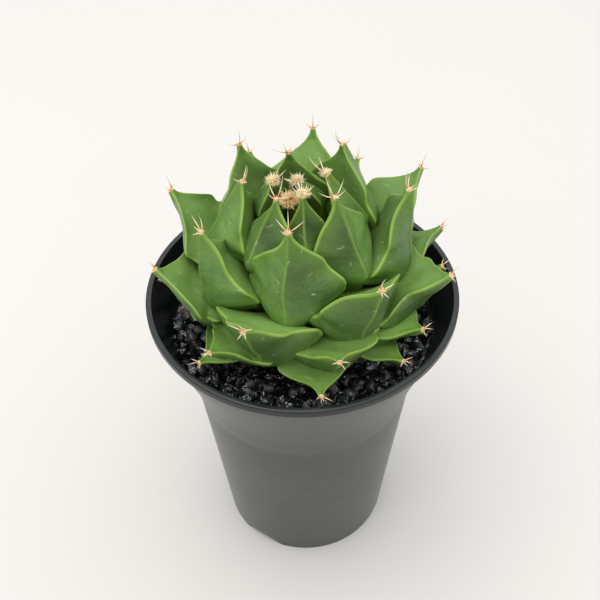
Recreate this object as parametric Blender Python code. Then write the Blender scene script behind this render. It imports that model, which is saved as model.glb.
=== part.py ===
"""Potted rosette cactus: a round, flat-topped plant of leaf-like tubercles in a nursery pot.

Origin: centre of the pot's foot, on the surface it stands on.  +Z up, front towards -Y.
Lengths are metres.  The tubercles follow one growth spiral, numbered from the youngest
beside the crown (1) to the oldest on the grit (37).
"""

import math

import bmesh
import bpy
import numpy as np
from mathutils import Vector

MM = 0.001
GAP = 0.3 * MM  # clearance kept between pieces that touch

# Pot
RIM_Z = 84.0 * MM
RIM_RADIUS = 37.5 * MM
LIP_WIDTH = 1.2 * MM
FOOT_RADIUS = 22.65 * MM
FOOT_WIDTH = 2.0 * MM
FOOT_HEIGHT = 3.0 * MM
WALL = 1.1 * MM
FLOOR_TOP = 4.6 * MM
POT_SEGMENTS = 56
OUTER_WALL = [  # radius and height down the outside, from under the lip to the foot
    (36.6 * MM, 82.1 * MM), (34.6 * MM, 76.5 * MM), (31.7 * MM, 68.5 * MM),
    (29.5 * MM, 61.5 * MM), (27.9 * MM, 54.5 * MM), (FOOT_RADIUS, 0.5 * MM),
]
NOTCH_BEARINGS = (236.0, 356.0, 116.0)
NOTCH_CHORD = 11.5 * MM
NOTCH_RISE = 1.9 * MM
DRAIN_COUNT = 6
DRAIN_RADIUS = 3.0 * MM
DRAIN_CIRCLE = 12.5 * MM

# Fill
MIX_TOP = 70.5 * MM
GRIT_TOP = 74.0 * MM
GRIT_RELIEF = 0.6 * MM

# Growth spiral
TUBERCLES = 37
FIRST_BEARING = 192.0
DIVERGENCE = 136.7
LEAN_X, LEAN_Y = -0.02, -0.03
SPIRAL_SHIFT_Y = 1.0 * MM

# Stages of growth: age, then in millimetres the tip's reach from the axis and its height
# above the rim, the base's reach and height, the half width at the shoulders, the depth of
# the keel and how far the middle bows outwards.
STAGES = np.array((
    (0, 1.6, 28.3, 4.5, 21.0, 2.4, 4.0, 0.5),
    (3, 5.1, 31.4, 7.5, 18.0, 5.0, 7.5, 0.3),
    (6, 8.4, 33.3, 10.5, 15.0, 8.0, 10.5, 0.0),
    (10, 17.1, 32.9, 13.0, 10.5, 10.6, 12.4, -0.2),
    (14, 27.4, 27.2, 15.5, 7.0, 11.2, 11.4, -0.6),
    (18, 33.7, 19.5, 18.5, 4.0, 11.6, 9.8, -1.4),
    (23, 34.1, 12.2, 19.0, 1.2, 11.0, 8.4, -1.0),
    (30, 34.4, 2.8, 16.5, -1.6, 9.8, 7.0, -0.3),
    (37, 33.4, 0.6, 13.0, -3.5, 8.5, 5.4, 0.5),
))

# Each tip's own wander off the spiral, in millimetres: sideways, outwards, upwards.
WANDER = {
    1: (1.5, -0.5, 0.5), 2: (0.5, -0.5, 0.5), 3: (1.5, 0.5, -1), 4: (0.5, 0, 1),
    5: (0.5, 0, -0.5), 6: (1.5, 0, 0), 7: (0.5, 0, 0), 8: (0.5, -1, -0.5),
    9: (1, -0.5, 0.5), 10: (-0.5, 0, 0), 11: (1, 0, -0.5), 12: (0.5, 1.5, 1),
    13: (-1, -1, 1.5), 14: (1.5, -1, -1), 15: (0.5, 1.5, -1), 16: (-0.5, -0.5, 0.5),
    17: (0, 0.5, 0.5), 18: (-1, 0, 0.5), 19: (-1.5, -1.5, -1), 20: (-0.5, 1.5, -1),
    21: (-2, -0.5, 2), 22: (-0.5, 0, -0.5), 23: (-3, 0, -1), 24: (0, -3, -3),
    25: (-0.5, 0.5, 0), 26: (-2, 0, 1), 27: (0, -1, 0), 28: (-1, -1, 0), 29: (-4, -3, 0),
    31: (1, 0.5, -1), 33: (1, -0.5, 1), 34: (1, -0.5, -0.5), 35: (0, -1, 0),
}

# Habit of a tubercle: width share left and right of the keel, place of the shoulder left and
# right as a share of the length from the tip, and roll in degrees; then those that differ.
USUAL_HABIT = (1.0, 1.0, 0.65, 0.58, -3.0)
HABIT = {
    2: (0.9, 1.1, 0.65, 0.6, -5), 7: (0.9, 1.15, 0.67, 0.6, -3),
    9: (1.15, 1, 0.62, 0.55, 0), 10: (1, 1.05, 0.66, 0.63, -8),
    12: (1.05, 1, 0.65, 0.5, 0), 13: (0.8, 0.9, 0.78, 0.6, -15),
    14: (1, 1.1, 0.63, 0.54, 0), 15: (1, 1.1, 0.67, 0.57, -5),
    16: (1.05, 0.9, 0.6, 0.48, -3), 17: (1, 1.05, 0.62, 0.57, -2),
    18: (1, 1, 0.6, 0.67, 0), 20: (1, 1.1, 0.7, 0.6, 0), 21: (0.9, 1, 0.47, 0.4, -7),
    25: (0.95, 0.95, 0.65, 0.65, -14), 26: (1, 0.87, 0.67, 0.52, -9),
}

# Tubercle section
STATIONS = (0.0, 0.14, 0.32, 0.5, 0.66, 0.84, 1.0)
LOWER_SHARES = (-1.0, -0.62, -0.28, 0.0, 0.28, 0.62, 1.0)
UPPER_SHARES = (0.55, 0.0, -0.55)
ROOTED = 8.0 * MM  # how far a tubercle's base runs on into the stem before it is cut
ROOTED_SHARE = 0.6  # size of that buried end
HEEL = 3.0 * MM  # how far the inner face swells at the base of a grown tubercle
AREOLE_RADIUS = 0.75 * MM
AREOLE_RISE = 0.6 * MM
SPINE_LENGTH = 4.0 * MM
SPINE_WEAR = 0.013  # share of its length that a spine loses with each step of age
SPINE_FOOT = 0.28
SPINES = (0, 3, 5, 8)  # corners of the ten-sided areole that carry a spine

# Stem: reach and height above the rim, from the crown down to the tap root's end
STEM_PROFILE = (
    (1.2, 20.6), (3.2, 18.6), (6.0, 15.2), (9.2, 11.0), (11.8, 7.0), (13.6, 3.0),
    (14.4, -1.0), (14.0, -5.0), (12.0, -9.0), (8.4, -16.0), (5.6, -26.0), (3.2, -38.0),
    (1.2, -48.0),
)
STEM_SEGMENTS = 18

GRIT_SEGMENTS = 36
WOOL_RADIUS = 2.3 * MM
WOOL_HEIGHT = 4.4 * MM
WOOL_X = -2.6 * MM


# ---------------------------------------------------------------- scene and materials

def clear_scene():
    """Remove every object of the open scene."""
    for item in list(bpy.data.objects):
        bpy.data.objects.remove(item, do_unlink=True)


def make_material(name, colour, roughness, metallic=0.0):
    """Return a Principled material of one colour."""
    material = bpy.data.materials.new(name)
    material.use_nodes = True
    shader = material.node_tree.nodes["Principled BSDF"]
    shader.inputs["Base Color"].default_value = (*colour, 1.0)
    shader.inputs["Roughness"].default_value = roughness
    shader.inputs["Metallic"].default_value = metallic
    material.diffuse_color = (*colour, 1.0)
    return material


def add_object(name, mesh, material):
    """Link a mesh into the scene as a named object."""
    item = bpy.data.objects.new(name, mesh)
    bpy.context.collection.objects.link(item)
    if material is not None:
        mesh.materials.append(material)
    return item


def evaluated_cut(item, cutters, solver):
    """The object's mesh with the helpers' volumes cut out of it by Booleans."""
    for cutter in cutters:
        step = item.modifiers.new(cutter.name, 'BOOLEAN')
        step.operation = 'DIFFERENCE'
        step.solver = solver
        step.object = cutter
    graph = bpy.context.evaluated_depsgraph_get()
    result = bpy.data.meshes.new_from_object(item.evaluated_get(graph))
    item.modifiers.clear()
    return result


def solid_volume(mesh):
    """Volume of a mesh, or zero where an edge hasn't exactly two faces."""
    bm = bmesh.new()
    bm.from_mesh(mesh)
    closed = all(len(edge.link_faces) == 2 for edge in bm.edges)
    volume = bm.calc_volume(signed=True) if closed else 0.0
    bm.free()
    return volume


def cut_away(item, cutters):
    """Cut helpers out of an object; where the exact solver fails, the manifold one cuts."""
    whole = solid_volume(item.data)
    result = evaluated_cut(item, cutters, 'EXACT')
    if not 0.1 * whole < solid_volume(result) <= whole:
        result = evaluated_cut(item, cutters, 'MANIFOLD')
    item.data = result


# ---------------------------------------------------------------- turned pieces

def turned_mesh(name, profile, segments, lift=None):
    """Turn a profile of (radius, height) points about +Z; it starts down the outer side.

    A radius of zero makes a pole.  lift(point index, angle) may raise a point of a ring.
    """
    bm = bmesh.new()
    rings = []
    for index, (radius, height) in enumerate(profile):
        count = segments if radius > 0.0 else 1
        ring = []
        for step in range(count):
            angle = 2.0 * math.pi * step / segments
            rise = lift(index, angle) if lift else 0.0
            ring.append(bm.verts.new((radius * math.cos(angle), radius * math.sin(angle),
                                      height + rise)))
        rings.append(ring)
    pairs = list(zip(rings, rings[1:]))
    if len(rings[0]) > 1 and len(rings[-1]) > 1:
        pairs.append((rings[-1], rings[0]))
    for upper, lower in pairs:
        if len(upper) == len(lower) == 1:
            continue
        for step in range(segments):
            after = (step + 1) % segments
            corners = (upper[step % len(upper)], lower[step % len(lower)],
                       lower[after % len(lower)], upper[after % len(upper)])
            bm.faces.new(dict.fromkeys(corners))
    mesh = bpy.data.meshes.new(name)
    bm.to_mesh(mesh)
    bm.free()
    mesh.shade_smooth()
    mesh.set_sharp_from_angle(angle=math.radians(35.0))
    return mesh


def inner_wall_radius(height):
    """Radius of the pot's inner wall at a height."""
    heights = [point[1] for point in reversed(OUTER_WALL)]
    radii = [point[0] - WALL for point in reversed(OUTER_WALL)]
    return float(np.interp(height, heights, radii))


def build_pot(material):
    """One moulded pot: lip, tapered wall, floor with drains, notched foot ring."""
    lip = [(RIM_RADIUS - 0.3 * MM, RIM_Z), (RIM_RADIUS, RIM_Z - 0.4 * MM),
           (RIM_RADIUS, RIM_Z - 1.5 * MM), (RIM_RADIUS - 0.3 * MM, RIM_Z - 1.9 * MM)]
    foot = [(FOOT_RADIUS - 0.5 * MM, 0.0), (FOOT_RADIUS - FOOT_WIDTH, 0.0),
            (FOOT_RADIUS - FOOT_WIDTH - 0.2 * MM, FOOT_HEIGHT), (0.0, FOOT_HEIGHT)]
    inside = [(0.0, FLOOR_TOP), (inner_wall_radius(FLOOR_TOP) - 0.8 * MM, FLOOR_TOP)]
    inside += [(inner_wall_radius(FLOOR_TOP + 1.0 * MM), FLOOR_TOP + 1.0 * MM)]
    inside += [(radius - WALL, height) for radius, height in reversed(OUTER_WALL[:-1])]
    inside += [(RIM_RADIUS - LIP_WIDTH, RIM_Z)]
    pot = add_object("pot", turned_mesh("pot", lip + OUTER_WALL + foot + inside, POT_SEGMENTS),
                     material)
    cutters = []
    notch_radius = (NOTCH_CHORD ** 2 / 4.0 + NOTCH_RISE ** 2) / (2.0 * NOTCH_RISE)
    for degrees in NOTCH_BEARINGS:
        outwards = Vector((math.cos(math.radians(degrees)), math.sin(math.radians(degrees)), 0))
        bpy.ops.mesh.primitive_cylinder_add(vertices=40, radius=notch_radius, depth=8.0 * MM)
        cutter = bpy.context.object
        cutter.rotation_euler = outwards.to_track_quat('Z', 'Y').to_euler()
        cutter.location = outwards * FOOT_RADIUS + Vector((0, 0, NOTCH_RISE - notch_radius))
        cutters.append(cutter)
    centres = [Vector((0, 0, FOOT_HEIGHT))]
    for number in range(DRAIN_COUNT):
        angle = 2.0 * math.pi * (number + 0.25) / DRAIN_COUNT
        centres.append(Vector((DRAIN_CIRCLE * math.cos(angle), DRAIN_CIRCLE * math.sin(angle),
                               FOOT_HEIGHT)))
    for centre in centres:
        bpy.ops.mesh.primitive_cylinder_add(vertices=12, radius=DRAIN_RADIUS, depth=8.0 * MM,
                                            location=centre)
        cutters.append(bpy.context.object)
    cut_away(pot, cutters)
    for cutter in cutters:
        bpy.data.objects.remove(cutter)
    return pot


def stem_profile(margin=0.0):
    """The stem's profile from crown to root end, in the part's frame, widened by a margin."""
    points = [(reach * MM + margin, RIM_Z + height * MM) for reach, height in STEM_PROFILE]
    top = (0.0, points[0][1] + 0.5 * MM + margin)
    end = (0.0, points[-1][1] - 1.5 * MM - margin)
    return [top] + points + [end]


def build_stem(material):
    """The short fat stem with its tap root, grown in one."""
    return add_object("stem", turned_mesh("stem", stem_profile(), STEM_SEGMENTS), material)


def build_potting_mix(material, stem_cutter):
    """The soil that fills the pot below the grit, around the root."""
    top = [(inner_wall_radius(MIX_TOP) - GAP, MIX_TOP)]
    low = FLOOR_TOP + GAP
    side = [(radius - WALL - GAP, height) for radius, height in OUTER_WALL[2:-1]]
    bottom = [(inner_wall_radius(low + 1.2 * MM) - GAP, low + 1.2 * MM),
              (inner_wall_radius(low) - 1.4 * MM, low), (0.0, low)]
    profile = [(0.0, MIX_TOP)] + top + side + bottom
    mix = add_object("potting_mix", turned_mesh("potting_mix", profile, GRIT_SEGMENTS), material)
    cut_away(mix, [stem_cutter])
    return mix


def build_grit(material, stem_cutter):
    """The layer of crushed black stone on the soil, with an uneven top."""
    random = np.random.default_rng(11)
    radii = (12.0, 16.5, 21.0, 25.5, 30.0)
    table = random.uniform(-1.0, 1.0, (len(radii) + 3, GRIT_SEGMENTS)) * GRIT_RELIEF

    def lift(index, angle):
        step = round(angle * GRIT_SEGMENTS / (2.0 * math.pi)) % GRIT_SEGMENTS
        return table[index, step] if 0 < index <= len(radii) + 1 else 0.0

    edge = inner_wall_radius(GRIT_TOP) - GAP
    top = [(0.0, GRIT_TOP)] + [(radius * MM, GRIT_TOP) for radius in radii]
    top += [(edge - 0.2 * MM, GRIT_TOP - 0.4 * MM)]
    low = MIX_TOP + GAP
    bottom = [(inner_wall_radius(low) - GAP, low), (0.0, low)]
    grit = add_object("grit_layer", turned_mesh("grit_layer", top + bottom, GRIT_SEGMENTS, lift),
                      material)
    cut_away(grit, [stem_cutter])
    return grit


# ---------------------------------------------------------------- tubercles

def stage(age):
    """Sizes of a tubercle of one age, in metres: the columns of STAGES after the first."""
    return [float(np.interp(age, STAGES[:, 0], column)) * MM for column in STAGES.T[1:]]


def compass(age):
    """Sideways and outward unit vectors of a tubercle of one age."""
    bearing = math.radians(FIRST_BEARING - DIVERGENCE * age)
    outwards = np.array((math.cos(bearing), math.sin(bearing), 0.0))
    sideways = np.array((-outwards[1], outwards[0], 0.0))
    return sideways, outwards


def tip_point(age):
    """Tip of a tubercle: its place on the leaning spiral and its own wander."""
    reach, height = stage(age)[:2]
    sideways, outwards = compass(age)
    x, y = reach * outwards[0], reach * outwards[1]
    spot = np.array((x + LEAN_X * height, y + LEAN_Y * height + SPIRAL_SHIFT_Y,
                     RIM_Z + height - LEAN_X * x - LEAN_Y * y))
    side, out, up = WANDER.get(age, (0, 0, 0))
    return spot + MM * (side * sideways + out * outwards + up * np.array((0.0, 0.0, 1.0)))


def base_point(age):
    """Middle of a tubercle's base, on the stem."""
    reach, height = stage(age)[2:4]
    return compass(age)[1] * reach + np.array((0.0, 0.0, RIM_Z + height))


def unit(vector):
    """A vector's direction."""
    return vector / np.linalg.norm(vector)


def share_of_width(place, shoulder):
    """Width along the tubercle as a share of its widest: an ogee, then a rounded fall."""
    rise = min(place / shoulder, 1.0)
    fall = max((place - shoulder) / (1.0 - shoulder), 0.0)
    return 0.36 * rise ** 0.8 + 0.32 * (1.0 - math.cos(math.pi * rise)) - 0.42 * fall ** 1.7


def share_of_depth(place):
    """Depth of the keel along the tubercle: nearly even growth, eased off at the base."""
    near = min(place, 1.0)
    ease = 1.0 - 0.3 * max((near - 0.78) / 0.22, 0.0) ** 2
    return ease * (0.05 + 0.95 * near ** 0.9)


def tubercle_rings(age, margin=0.0):
    """Section rings of a tubercle from its tip to inside the stem, grown by a margin.

    Each ring runs along the keeled outer face from one edge to the other and back along the
    nearly flat inner face.  The middle line is a quadratic curve that bows outwards.
    """
    half_width, depth, bow = stage(age)[4:]
    sideways, outwards = compass(age)
    tip, base = tip_point(age), base_point(age)
    length = np.linalg.norm(tip - base)
    along = unit(tip - base)
    away = unit(np.cross(along, sideways))
    if away @ (outwards - np.array((0.0, 0.0, 0.7))) < 0.0:
        away = -away
    across = np.cross(away, along)
    if across @ sideways < 0.0:
        across = -across
    left, right, left_shoulder, right_shoulder, roll = HABIT.get(age, USUAL_HABIT)
    roll = math.radians(roll)
    away, across = (away * math.cos(roll) + across * math.sin(roll),
                    across * math.cos(roll) - away * math.sin(roll))
    middle = 0.55 * base + 0.45 * tip + bow * away
    curl = 0.1 if age > 12 else 0.0
    heel = HEEL * min(age / 12.0, 1.0) ** 2
    rings = []
    for place in STATIONS + (1.0 + (ROOTED + margin) / length,):
        rise = 1.0 - min(place, 1.0)
        centre = (1.0 - rise) ** 2 * base + 2.0 * rise * (1.0 - rise) * middle + rise ** 2 * tip
        heading = unit((1.0 - rise) * (middle - base) + rise * (tip - middle))
        centre = centre - heading * max(place - 1.0, 0.0) * length
        if place == 0.0:
            centre = centre + heading * margin
        inwards = unit(np.cross(across, heading))
        if inwards @ away > 0.0:
            inwards = -inwards
        size = 1.0 if place <= 1.0 else ROOTED_SHARE
        widths = [max(half_width * size * side * share_of_width(min(place, 1.0), shoulder),
                      AREOLE_RADIUS) + margin
                  for side, shoulder in ((left, left_shoulder), (right, right_shoulder))]
        keel = max(depth * size * share_of_depth(place), AREOLE_RADIUS) + margin
        swell = max(0.02 * sum(widths), 0.6 * AREOLE_RADIUS * (1.0 - place / STATIONS[1])) + margin
        swell += heel * min(max((place - 0.45) / 0.55, 0.0), 1.0) ** 1.5
        edge = min(max(1.25 - 1.1 * place, 0.1), 1.0)
        ring = []
        for share in LOWER_SHARES:
            width = widths[share > 0.0]
            drop = edge * (1.0 - abs(share)) ** 0.9 + (1.0 - edge) * (1.0 - abs(share) ** 2.5)
            ring.append(centre + across * width * share
                        + inwards * (curl * width * share ** 2 - keel * drop))
        for share in UPPER_SHARES:
            width = widths[share > 0.0]
            ring.append(centre + across * width * share
                        + inwards * (curl * width * share ** 2 + swell * (1.0 - share ** 2)))
        rings.append(ring)
    return rings, unit(tip - middle)


def tubercle_mesh(name, age, origin, margin=0.0):
    """Closed skin over a tubercle's rings, with its areole and spines, grown by a margin."""
    rings, forwards = tubercle_rings(age, margin)
    bm = bmesh.new()
    count = len(rings[0])
    loops = []
    tip = sum(rings[0]) / count
    wool = 1.0 + 0.5 * max(0.0, 1.0 - age / 5.0)
    cap = [tip + (point - tip) * 0.7 * wool + forwards * AREOLE_RISE for point in rings[0]]
    for ring in [cap] + rings:
        loops.append([bm.verts.new(Vector(point - origin)) for point in ring])
    for upper, lower in zip(loops, loops[1:]):
        for step in range(count):
            after = (step + 1) % count
            bm.faces.new((upper[step], upper[after], lower[after], lower[step]))
    crest = bm.verts.new(Vector(tip + forwards * 1.7 * AREOLE_RISE - origin))
    end = bm.verts.new(Vector(sum(rings[-1]) / count - origin))
    for step in range(count):
        after = (step + 1) % count
        bm.faces.new((crest, loops[0][after], loops[0][step]))
        bm.faces.new((end, loops[-1][step], loops[-1][after]))
    bm.faces.ensure_lookup_table()
    seat = Vector(tip - origin)
    foot = SPINE_FOOT if margin == 0.0 else 0.95
    areole_faces = [bm.faces[step] for step in SPINES]
    for number, face in enumerate(areole_faces):
        length = SPINE_LENGTH * (1.05 - 0.08 * number - SPINE_WEAR * age) + 2.0 * margin
        grow_spine(bm, face, seat, Vector(forwards), length, foot)
    bmesh.ops.recalc_face_normals(bm, faces=bm.faces)
    bmesh.ops.triangulate(bm, faces=bm.faces, quad_method='FIXED')
    mesh = bpy.data.meshes.new(name)
    bm.to_mesh(mesh)
    bm.free()
    return mesh


def grow_spine(bm, face, seat, forwards, length, share):
    """Draw one face of the areole out into a spine; its foot is a share of the face."""
    middle = face.calc_center_median()
    radial = middle - seat
    radial -= forwards * radial.dot(forwards)
    point = middle + (radial.normalized() * 0.8 + forwards * 0.6).normalized() * length
    corners = list(face.verts)
    bm.faces.remove(face)
    foot = [bm.verts.new(middle + (corner.co - middle) * share) for corner in corners]
    apex = bm.verts.new(point)
    for step in range(len(corners)):
        after = (step + 1) % len(corners)
        bm.faces.new((corners[step], corners[after], foot[after], foot[step]))
        bm.faces.new((foot[step], foot[after], apex))


def keep_largest_body(mesh):
    """Drop the slivers that a cut can leave beside the main body."""
    bm = bmesh.new()
    bm.from_mesh(mesh)
    waiting = set(bm.faces)
    bodies = []
    while waiting:
        front = [waiting.pop()]
        body = list(front)
        while front:
            face = front.pop()
            for edge in face.edges:
                for near in edge.link_faces:
                    if near in waiting:
                        waiting.discard(near)
                        front.append(near)
                        body.append(near)
        bodies.append(body)
    bodies.sort(key=lambda body: sum(face.calc_area() for face in body), reverse=True)
    for body in bodies[1:]:
        bmesh.ops.delete(bm, geom=body, context='FACES')
    loose = [vert for vert in bm.verts if not vert.link_faces]
    bmesh.ops.delete(bm, geom=loose, context='VERTS')
    bm.to_mesh(mesh)
    bm.free()


def boxes_meet(first, second):
    """Whether two objects' bounding boxes meet."""
    for axis in range(3):
        lows, highs = [], []
        for item in (first, second):
            values = [(item.location + Vector(corner))[axis] for corner in item.bound_box]
            lows.append(min(values))
            highs.append(max(values))
        if max(lows) > min(highs):
            return False
    return True


def build_tubercles(material, stem_cutter):
    """All tubercles; each is cut by the stem and by the younger ones it leans against."""
    grown = []
    finished = []
    for age in range(1, TUBERCLES + 1):
        name = "tubercle_%02d" % age
        base = base_point(age)
        item = add_object(name, tubercle_mesh(name, age, base), material)
        item.location = base
        shadow = add_object(name + "_grown", tubercle_mesh(name + "_grown", age, base, GAP), None)
        shadow.location = base
        bpy.context.view_layer.update()
        cut_away(item, [stem_cutter] + [other for other in grown if boxes_meet(item, other)])
        keep_largest_body(item.data)
        item.data.shade_smooth()
        item.data.set_sharp_from_angle(angle=math.radians(35.0))
        grown.append(shadow)
        finished.append(item)
    return finished, grown


def build_wool(material, cutters):
    """The pad of wool over the growing point, between the youngest tubercles."""
    random = np.random.default_rng(5)
    bm = bmesh.new()
    bmesh.ops.create_icosphere(bm, subdivisions=2, radius=1.0)
    for vert in bm.verts:
        swell = 1.0 + random.uniform(-0.08, 0.08)
        vert.co.x *= WOOL_RADIUS * swell
        vert.co.y *= WOOL_RADIUS * swell
        vert.co.z *= WOOL_HEIGHT * swell
    mesh = bpy.data.meshes.new("crown_wool")
    bm.to_mesh(mesh)
    bm.free()
    wool = add_object("crown_wool", mesh, material)
    wool.location = (WOOL_X, 0.0, stem_profile()[0][1] + 0.58 * WOOL_HEIGHT)
    bpy.context.view_layer.update()
    cut_away(wool, cutters)
    keep_largest_body(wool.data)
    return wool


# ---------------------------------------------------------------- assembly

def main():
    """Build the whole plant in its pot."""
    clear_scene()
    moulded = make_material("pot", (0.045, 0.048, 0.048), 0.55)
    soil = make_material("potting_mix", (0.05, 0.035, 0.025), 0.95)
    stone = make_material("grit_layer", (0.02, 0.02, 0.022), 0.35)
    bark = make_material("stem", (0.20, 0.26, 0.10), 0.7)
    flesh = make_material("tubercle", (0.09, 0.24, 0.06), 0.45)
    fluff = make_material("crown_wool", (0.75, 0.66, 0.45), 0.95)

    build_pot(moulded)
    build_stem(bark)
    stem_cutter = add_object("stem_cutter",
                             turned_mesh("stem_cutter", stem_profile(GAP), STEM_SEGMENTS), None)
    build_potting_mix(soil, stem_cutter)
    build_grit(stone, stem_cutter)
    tubercles, grown = build_tubercles(flesh, stem_cutter)
    build_wool(fluff, [stem_cutter] + grown[:8])
    for helper in [stem_cutter] + grown:
        bpy.data.objects.remove(helper)
    print("tubercles:", len(tubercles))


main()
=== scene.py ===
"""Looks for a potted rosette cactus: pot, grit, keeled tubercles, spines and wool.

Every surface is worked out with numpy on a grid of two parameters, in metres, in the frame of
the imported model: origin at the middle of the pot's foot, +Z up, front towards -Y.
"""

import math

import bpy
import numpy as np
from bpy.props import FloatProperty, FloatVectorProperty, IntProperty, PointerProperty
from mathutils import Matrix, Vector


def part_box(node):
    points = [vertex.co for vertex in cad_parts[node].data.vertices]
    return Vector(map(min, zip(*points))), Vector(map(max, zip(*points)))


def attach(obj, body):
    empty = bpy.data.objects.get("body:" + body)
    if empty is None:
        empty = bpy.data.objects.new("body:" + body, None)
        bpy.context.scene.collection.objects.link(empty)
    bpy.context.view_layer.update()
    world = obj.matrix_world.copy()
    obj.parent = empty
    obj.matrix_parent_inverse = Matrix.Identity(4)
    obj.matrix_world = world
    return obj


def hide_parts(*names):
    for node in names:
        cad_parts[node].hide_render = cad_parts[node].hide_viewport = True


bl_info = {
    "name": "Potted Rosette Cactus",
    "version": (1, 0, 0),
    "blender": (4, 5, 0),
    "location": "View3D > Sidebar > Cactus",
    "description": "Builds a keeled rosette cactus in its nursery pot round a packed model",
    "category": "Object",
}

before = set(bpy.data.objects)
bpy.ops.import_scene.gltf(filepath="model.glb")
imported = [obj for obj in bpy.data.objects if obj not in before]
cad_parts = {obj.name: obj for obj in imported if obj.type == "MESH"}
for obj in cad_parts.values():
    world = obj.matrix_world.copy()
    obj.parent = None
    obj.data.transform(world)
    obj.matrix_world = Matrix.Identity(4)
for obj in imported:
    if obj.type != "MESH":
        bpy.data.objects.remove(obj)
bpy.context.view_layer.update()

MM = 0.001
BODY = "root"
FULL_TURN = 2.0 * math.pi
UP = np.array((0.0, 0.0, 1.0))

# What settings of one sort have in common
LENGTH = {"subtype": 'DISTANCE', "unit": 'LENGTH', "precision": 5}
COLOUR = {"subtype": 'COLOR', "size": 3, "min": 0.0, "max": 1.0}

# Pot: the lip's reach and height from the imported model's box, then its other sizes
POT_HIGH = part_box("pot")[1]
RIM_Z = POT_HIGH.z
RIM_RADIUS = POT_HIGH.x
FOOT_RADIUS = 22.65 * MM
FOOT_WIDTH = 2.0 * MM
FOOT_HEIGHT = 3.0 * MM
FLOOR_TOP = 4.6 * MM
WALL = 1.1 * MM
OUTER_WALL = [  # radius and height up the outside, from the foot to under the lip
    (FOOT_RADIUS, 0.5 * MM), (27.9 * MM, 54.5 * MM), (29.5 * MM, 61.5 * MM),
    (31.7 * MM, 68.5 * MM), (34.6 * MM, 76.5 * MM), (36.6 * MM, 82.1 * MM),
]
NOTCH_BEARINGS = (236.0, 356.0, 116.0)
NOTCH_CHORD = 11.5 * MM
NOTCH_RISE = 1.9 * MM
DRAIN_COUNT = 6
DRAIN_RADIUS = 3.0 * MM
DRAIN_CIRCLE = 12.5 * MM

GRIT_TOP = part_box("grit_layer")[1].z

# Growth spiral of the tubercles, youngest first
TUBERCLES = 37
FIRST_BEARING = 192.0
DIVERGENCE = 136.7
LEAN_X, LEAN_Y = -0.02, -0.03
SPIRAL_SHIFT_Y = 1.0 * MM

# Age, then in millimetres: tip reach and height above the rim, base reach and height, half
# width at the shoulders, depth of the keel, outward bow of the middle.
STAGES = np.array((
    (0, 1.6, 28.3, 4.5, 21.0, 2.4, 4.0, 0.5),
    (3, 5.1, 31.4, 7.5, 18.0, 5.0, 7.5, 0.3),
    (6, 8.4, 33.3, 10.5, 15.0, 8.0, 10.5, 0.0),
    (10, 17.1, 32.9, 13.0, 10.5, 10.6, 12.4, -0.2),
    (14, 27.4, 27.2, 15.5, 7.0, 11.2, 11.4, -0.6),
    (18, 33.7, 19.5, 18.5, 4.0, 11.6, 9.8, -1.4),
    (23, 34.1, 12.2, 19.0, 1.2, 11.0, 8.4, -1.0),
    (30, 34.4, 2.8, 16.5, -1.6, 9.8, 7.0, -0.3),
    (37, 33.4, 0.6, 13.0, -3.5, 8.5, 5.4, 0.5),
))

# Each tip's own wander off the spiral, in millimetres: sideways, outwards, upwards.
WANDER = {
    1: (1.5, -0.5, 0.5), 2: (0.5, -0.5, 0.5), 3: (1.5, 0.5, -1), 4: (0.5, 0, 1),
    5: (0.5, 0, -0.5), 6: (1.5, 0, 0), 7: (0.5, 0, 0), 8: (0.5, -1, -0.5),
    9: (1, -0.5, 0.5), 10: (-0.5, 0, 0), 11: (1, 0, -0.5), 12: (0.5, 1.5, 1),
    13: (-1, -1, 1.5), 14: (1.5, -1, -1), 15: (0.5, 1.5, -1), 16: (-0.5, -0.5, 0.5),
    17: (0, 0.5, 0.5), 18: (-1, 0, 0.5), 19: (-1.5, -1.5, -1), 20: (-0.5, 1.5, -1),
    21: (-2, -0.5, 2), 22: (-0.5, 0, -0.5), 23: (-3, 0, -1), 24: (0, -3, -3),
    25: (-0.5, 0.5, 0), 26: (-2, 0, 1), 27: (0, -1, 0), 28: (-1, -1, 0), 29: (-4, -3, 0),
    31: (1, 0.5, -1), 33: (1, -0.5, 1), 34: (1, -0.5, -0.5), 35: (0, -1, 0),
}

# Habit of a tubercle: width share left and right of the keel, place of the shoulder left and
# right, roll in degrees and drift of the keel in millimetres; then those that differ.
USUAL_HABIT = (1.0, 1.0, 0.65, 0.58, -3.0, -0.2)
HABIT = {
    2: (0.9, 1.1, 0.65, 0.6, -5, -0.5), 7: (0.9, 1.15, 0.67, 0.6, -3, -0.5),
    9: (1.15, 1, 0.62, 0.55, 0, -0.5), 10: (1, 1.05, 0.66, 0.63, -8, -0.6),
    12: (1.05, 1, 0.65, 0.5, 0, 0), 13: (0.8, 0.9, 0.78, 0.6, -15, -0.4),
    14: (1, 1.1, 0.63, 0.54, 0, 0), 15: (1, 1.1, 0.67, 0.57, -5, -0.8),
    16: (1.05, 0.9, 0.6, 0.48, -3, 0), 17: (1, 1.05, 0.62, 0.57, -2, -1.6),
    18: (1, 1, 0.6, 0.67, 0, -0.4), 20: (1, 1.1, 0.7, 0.6, 0, 0),
    21: (0.9, 1, 0.47, 0.4, -7, 0), 25: (0.95, 0.95, 0.65, 0.65, -14, 0),
    26: (1, 0.87, 0.67, 0.52, -9, 0),
}

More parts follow.
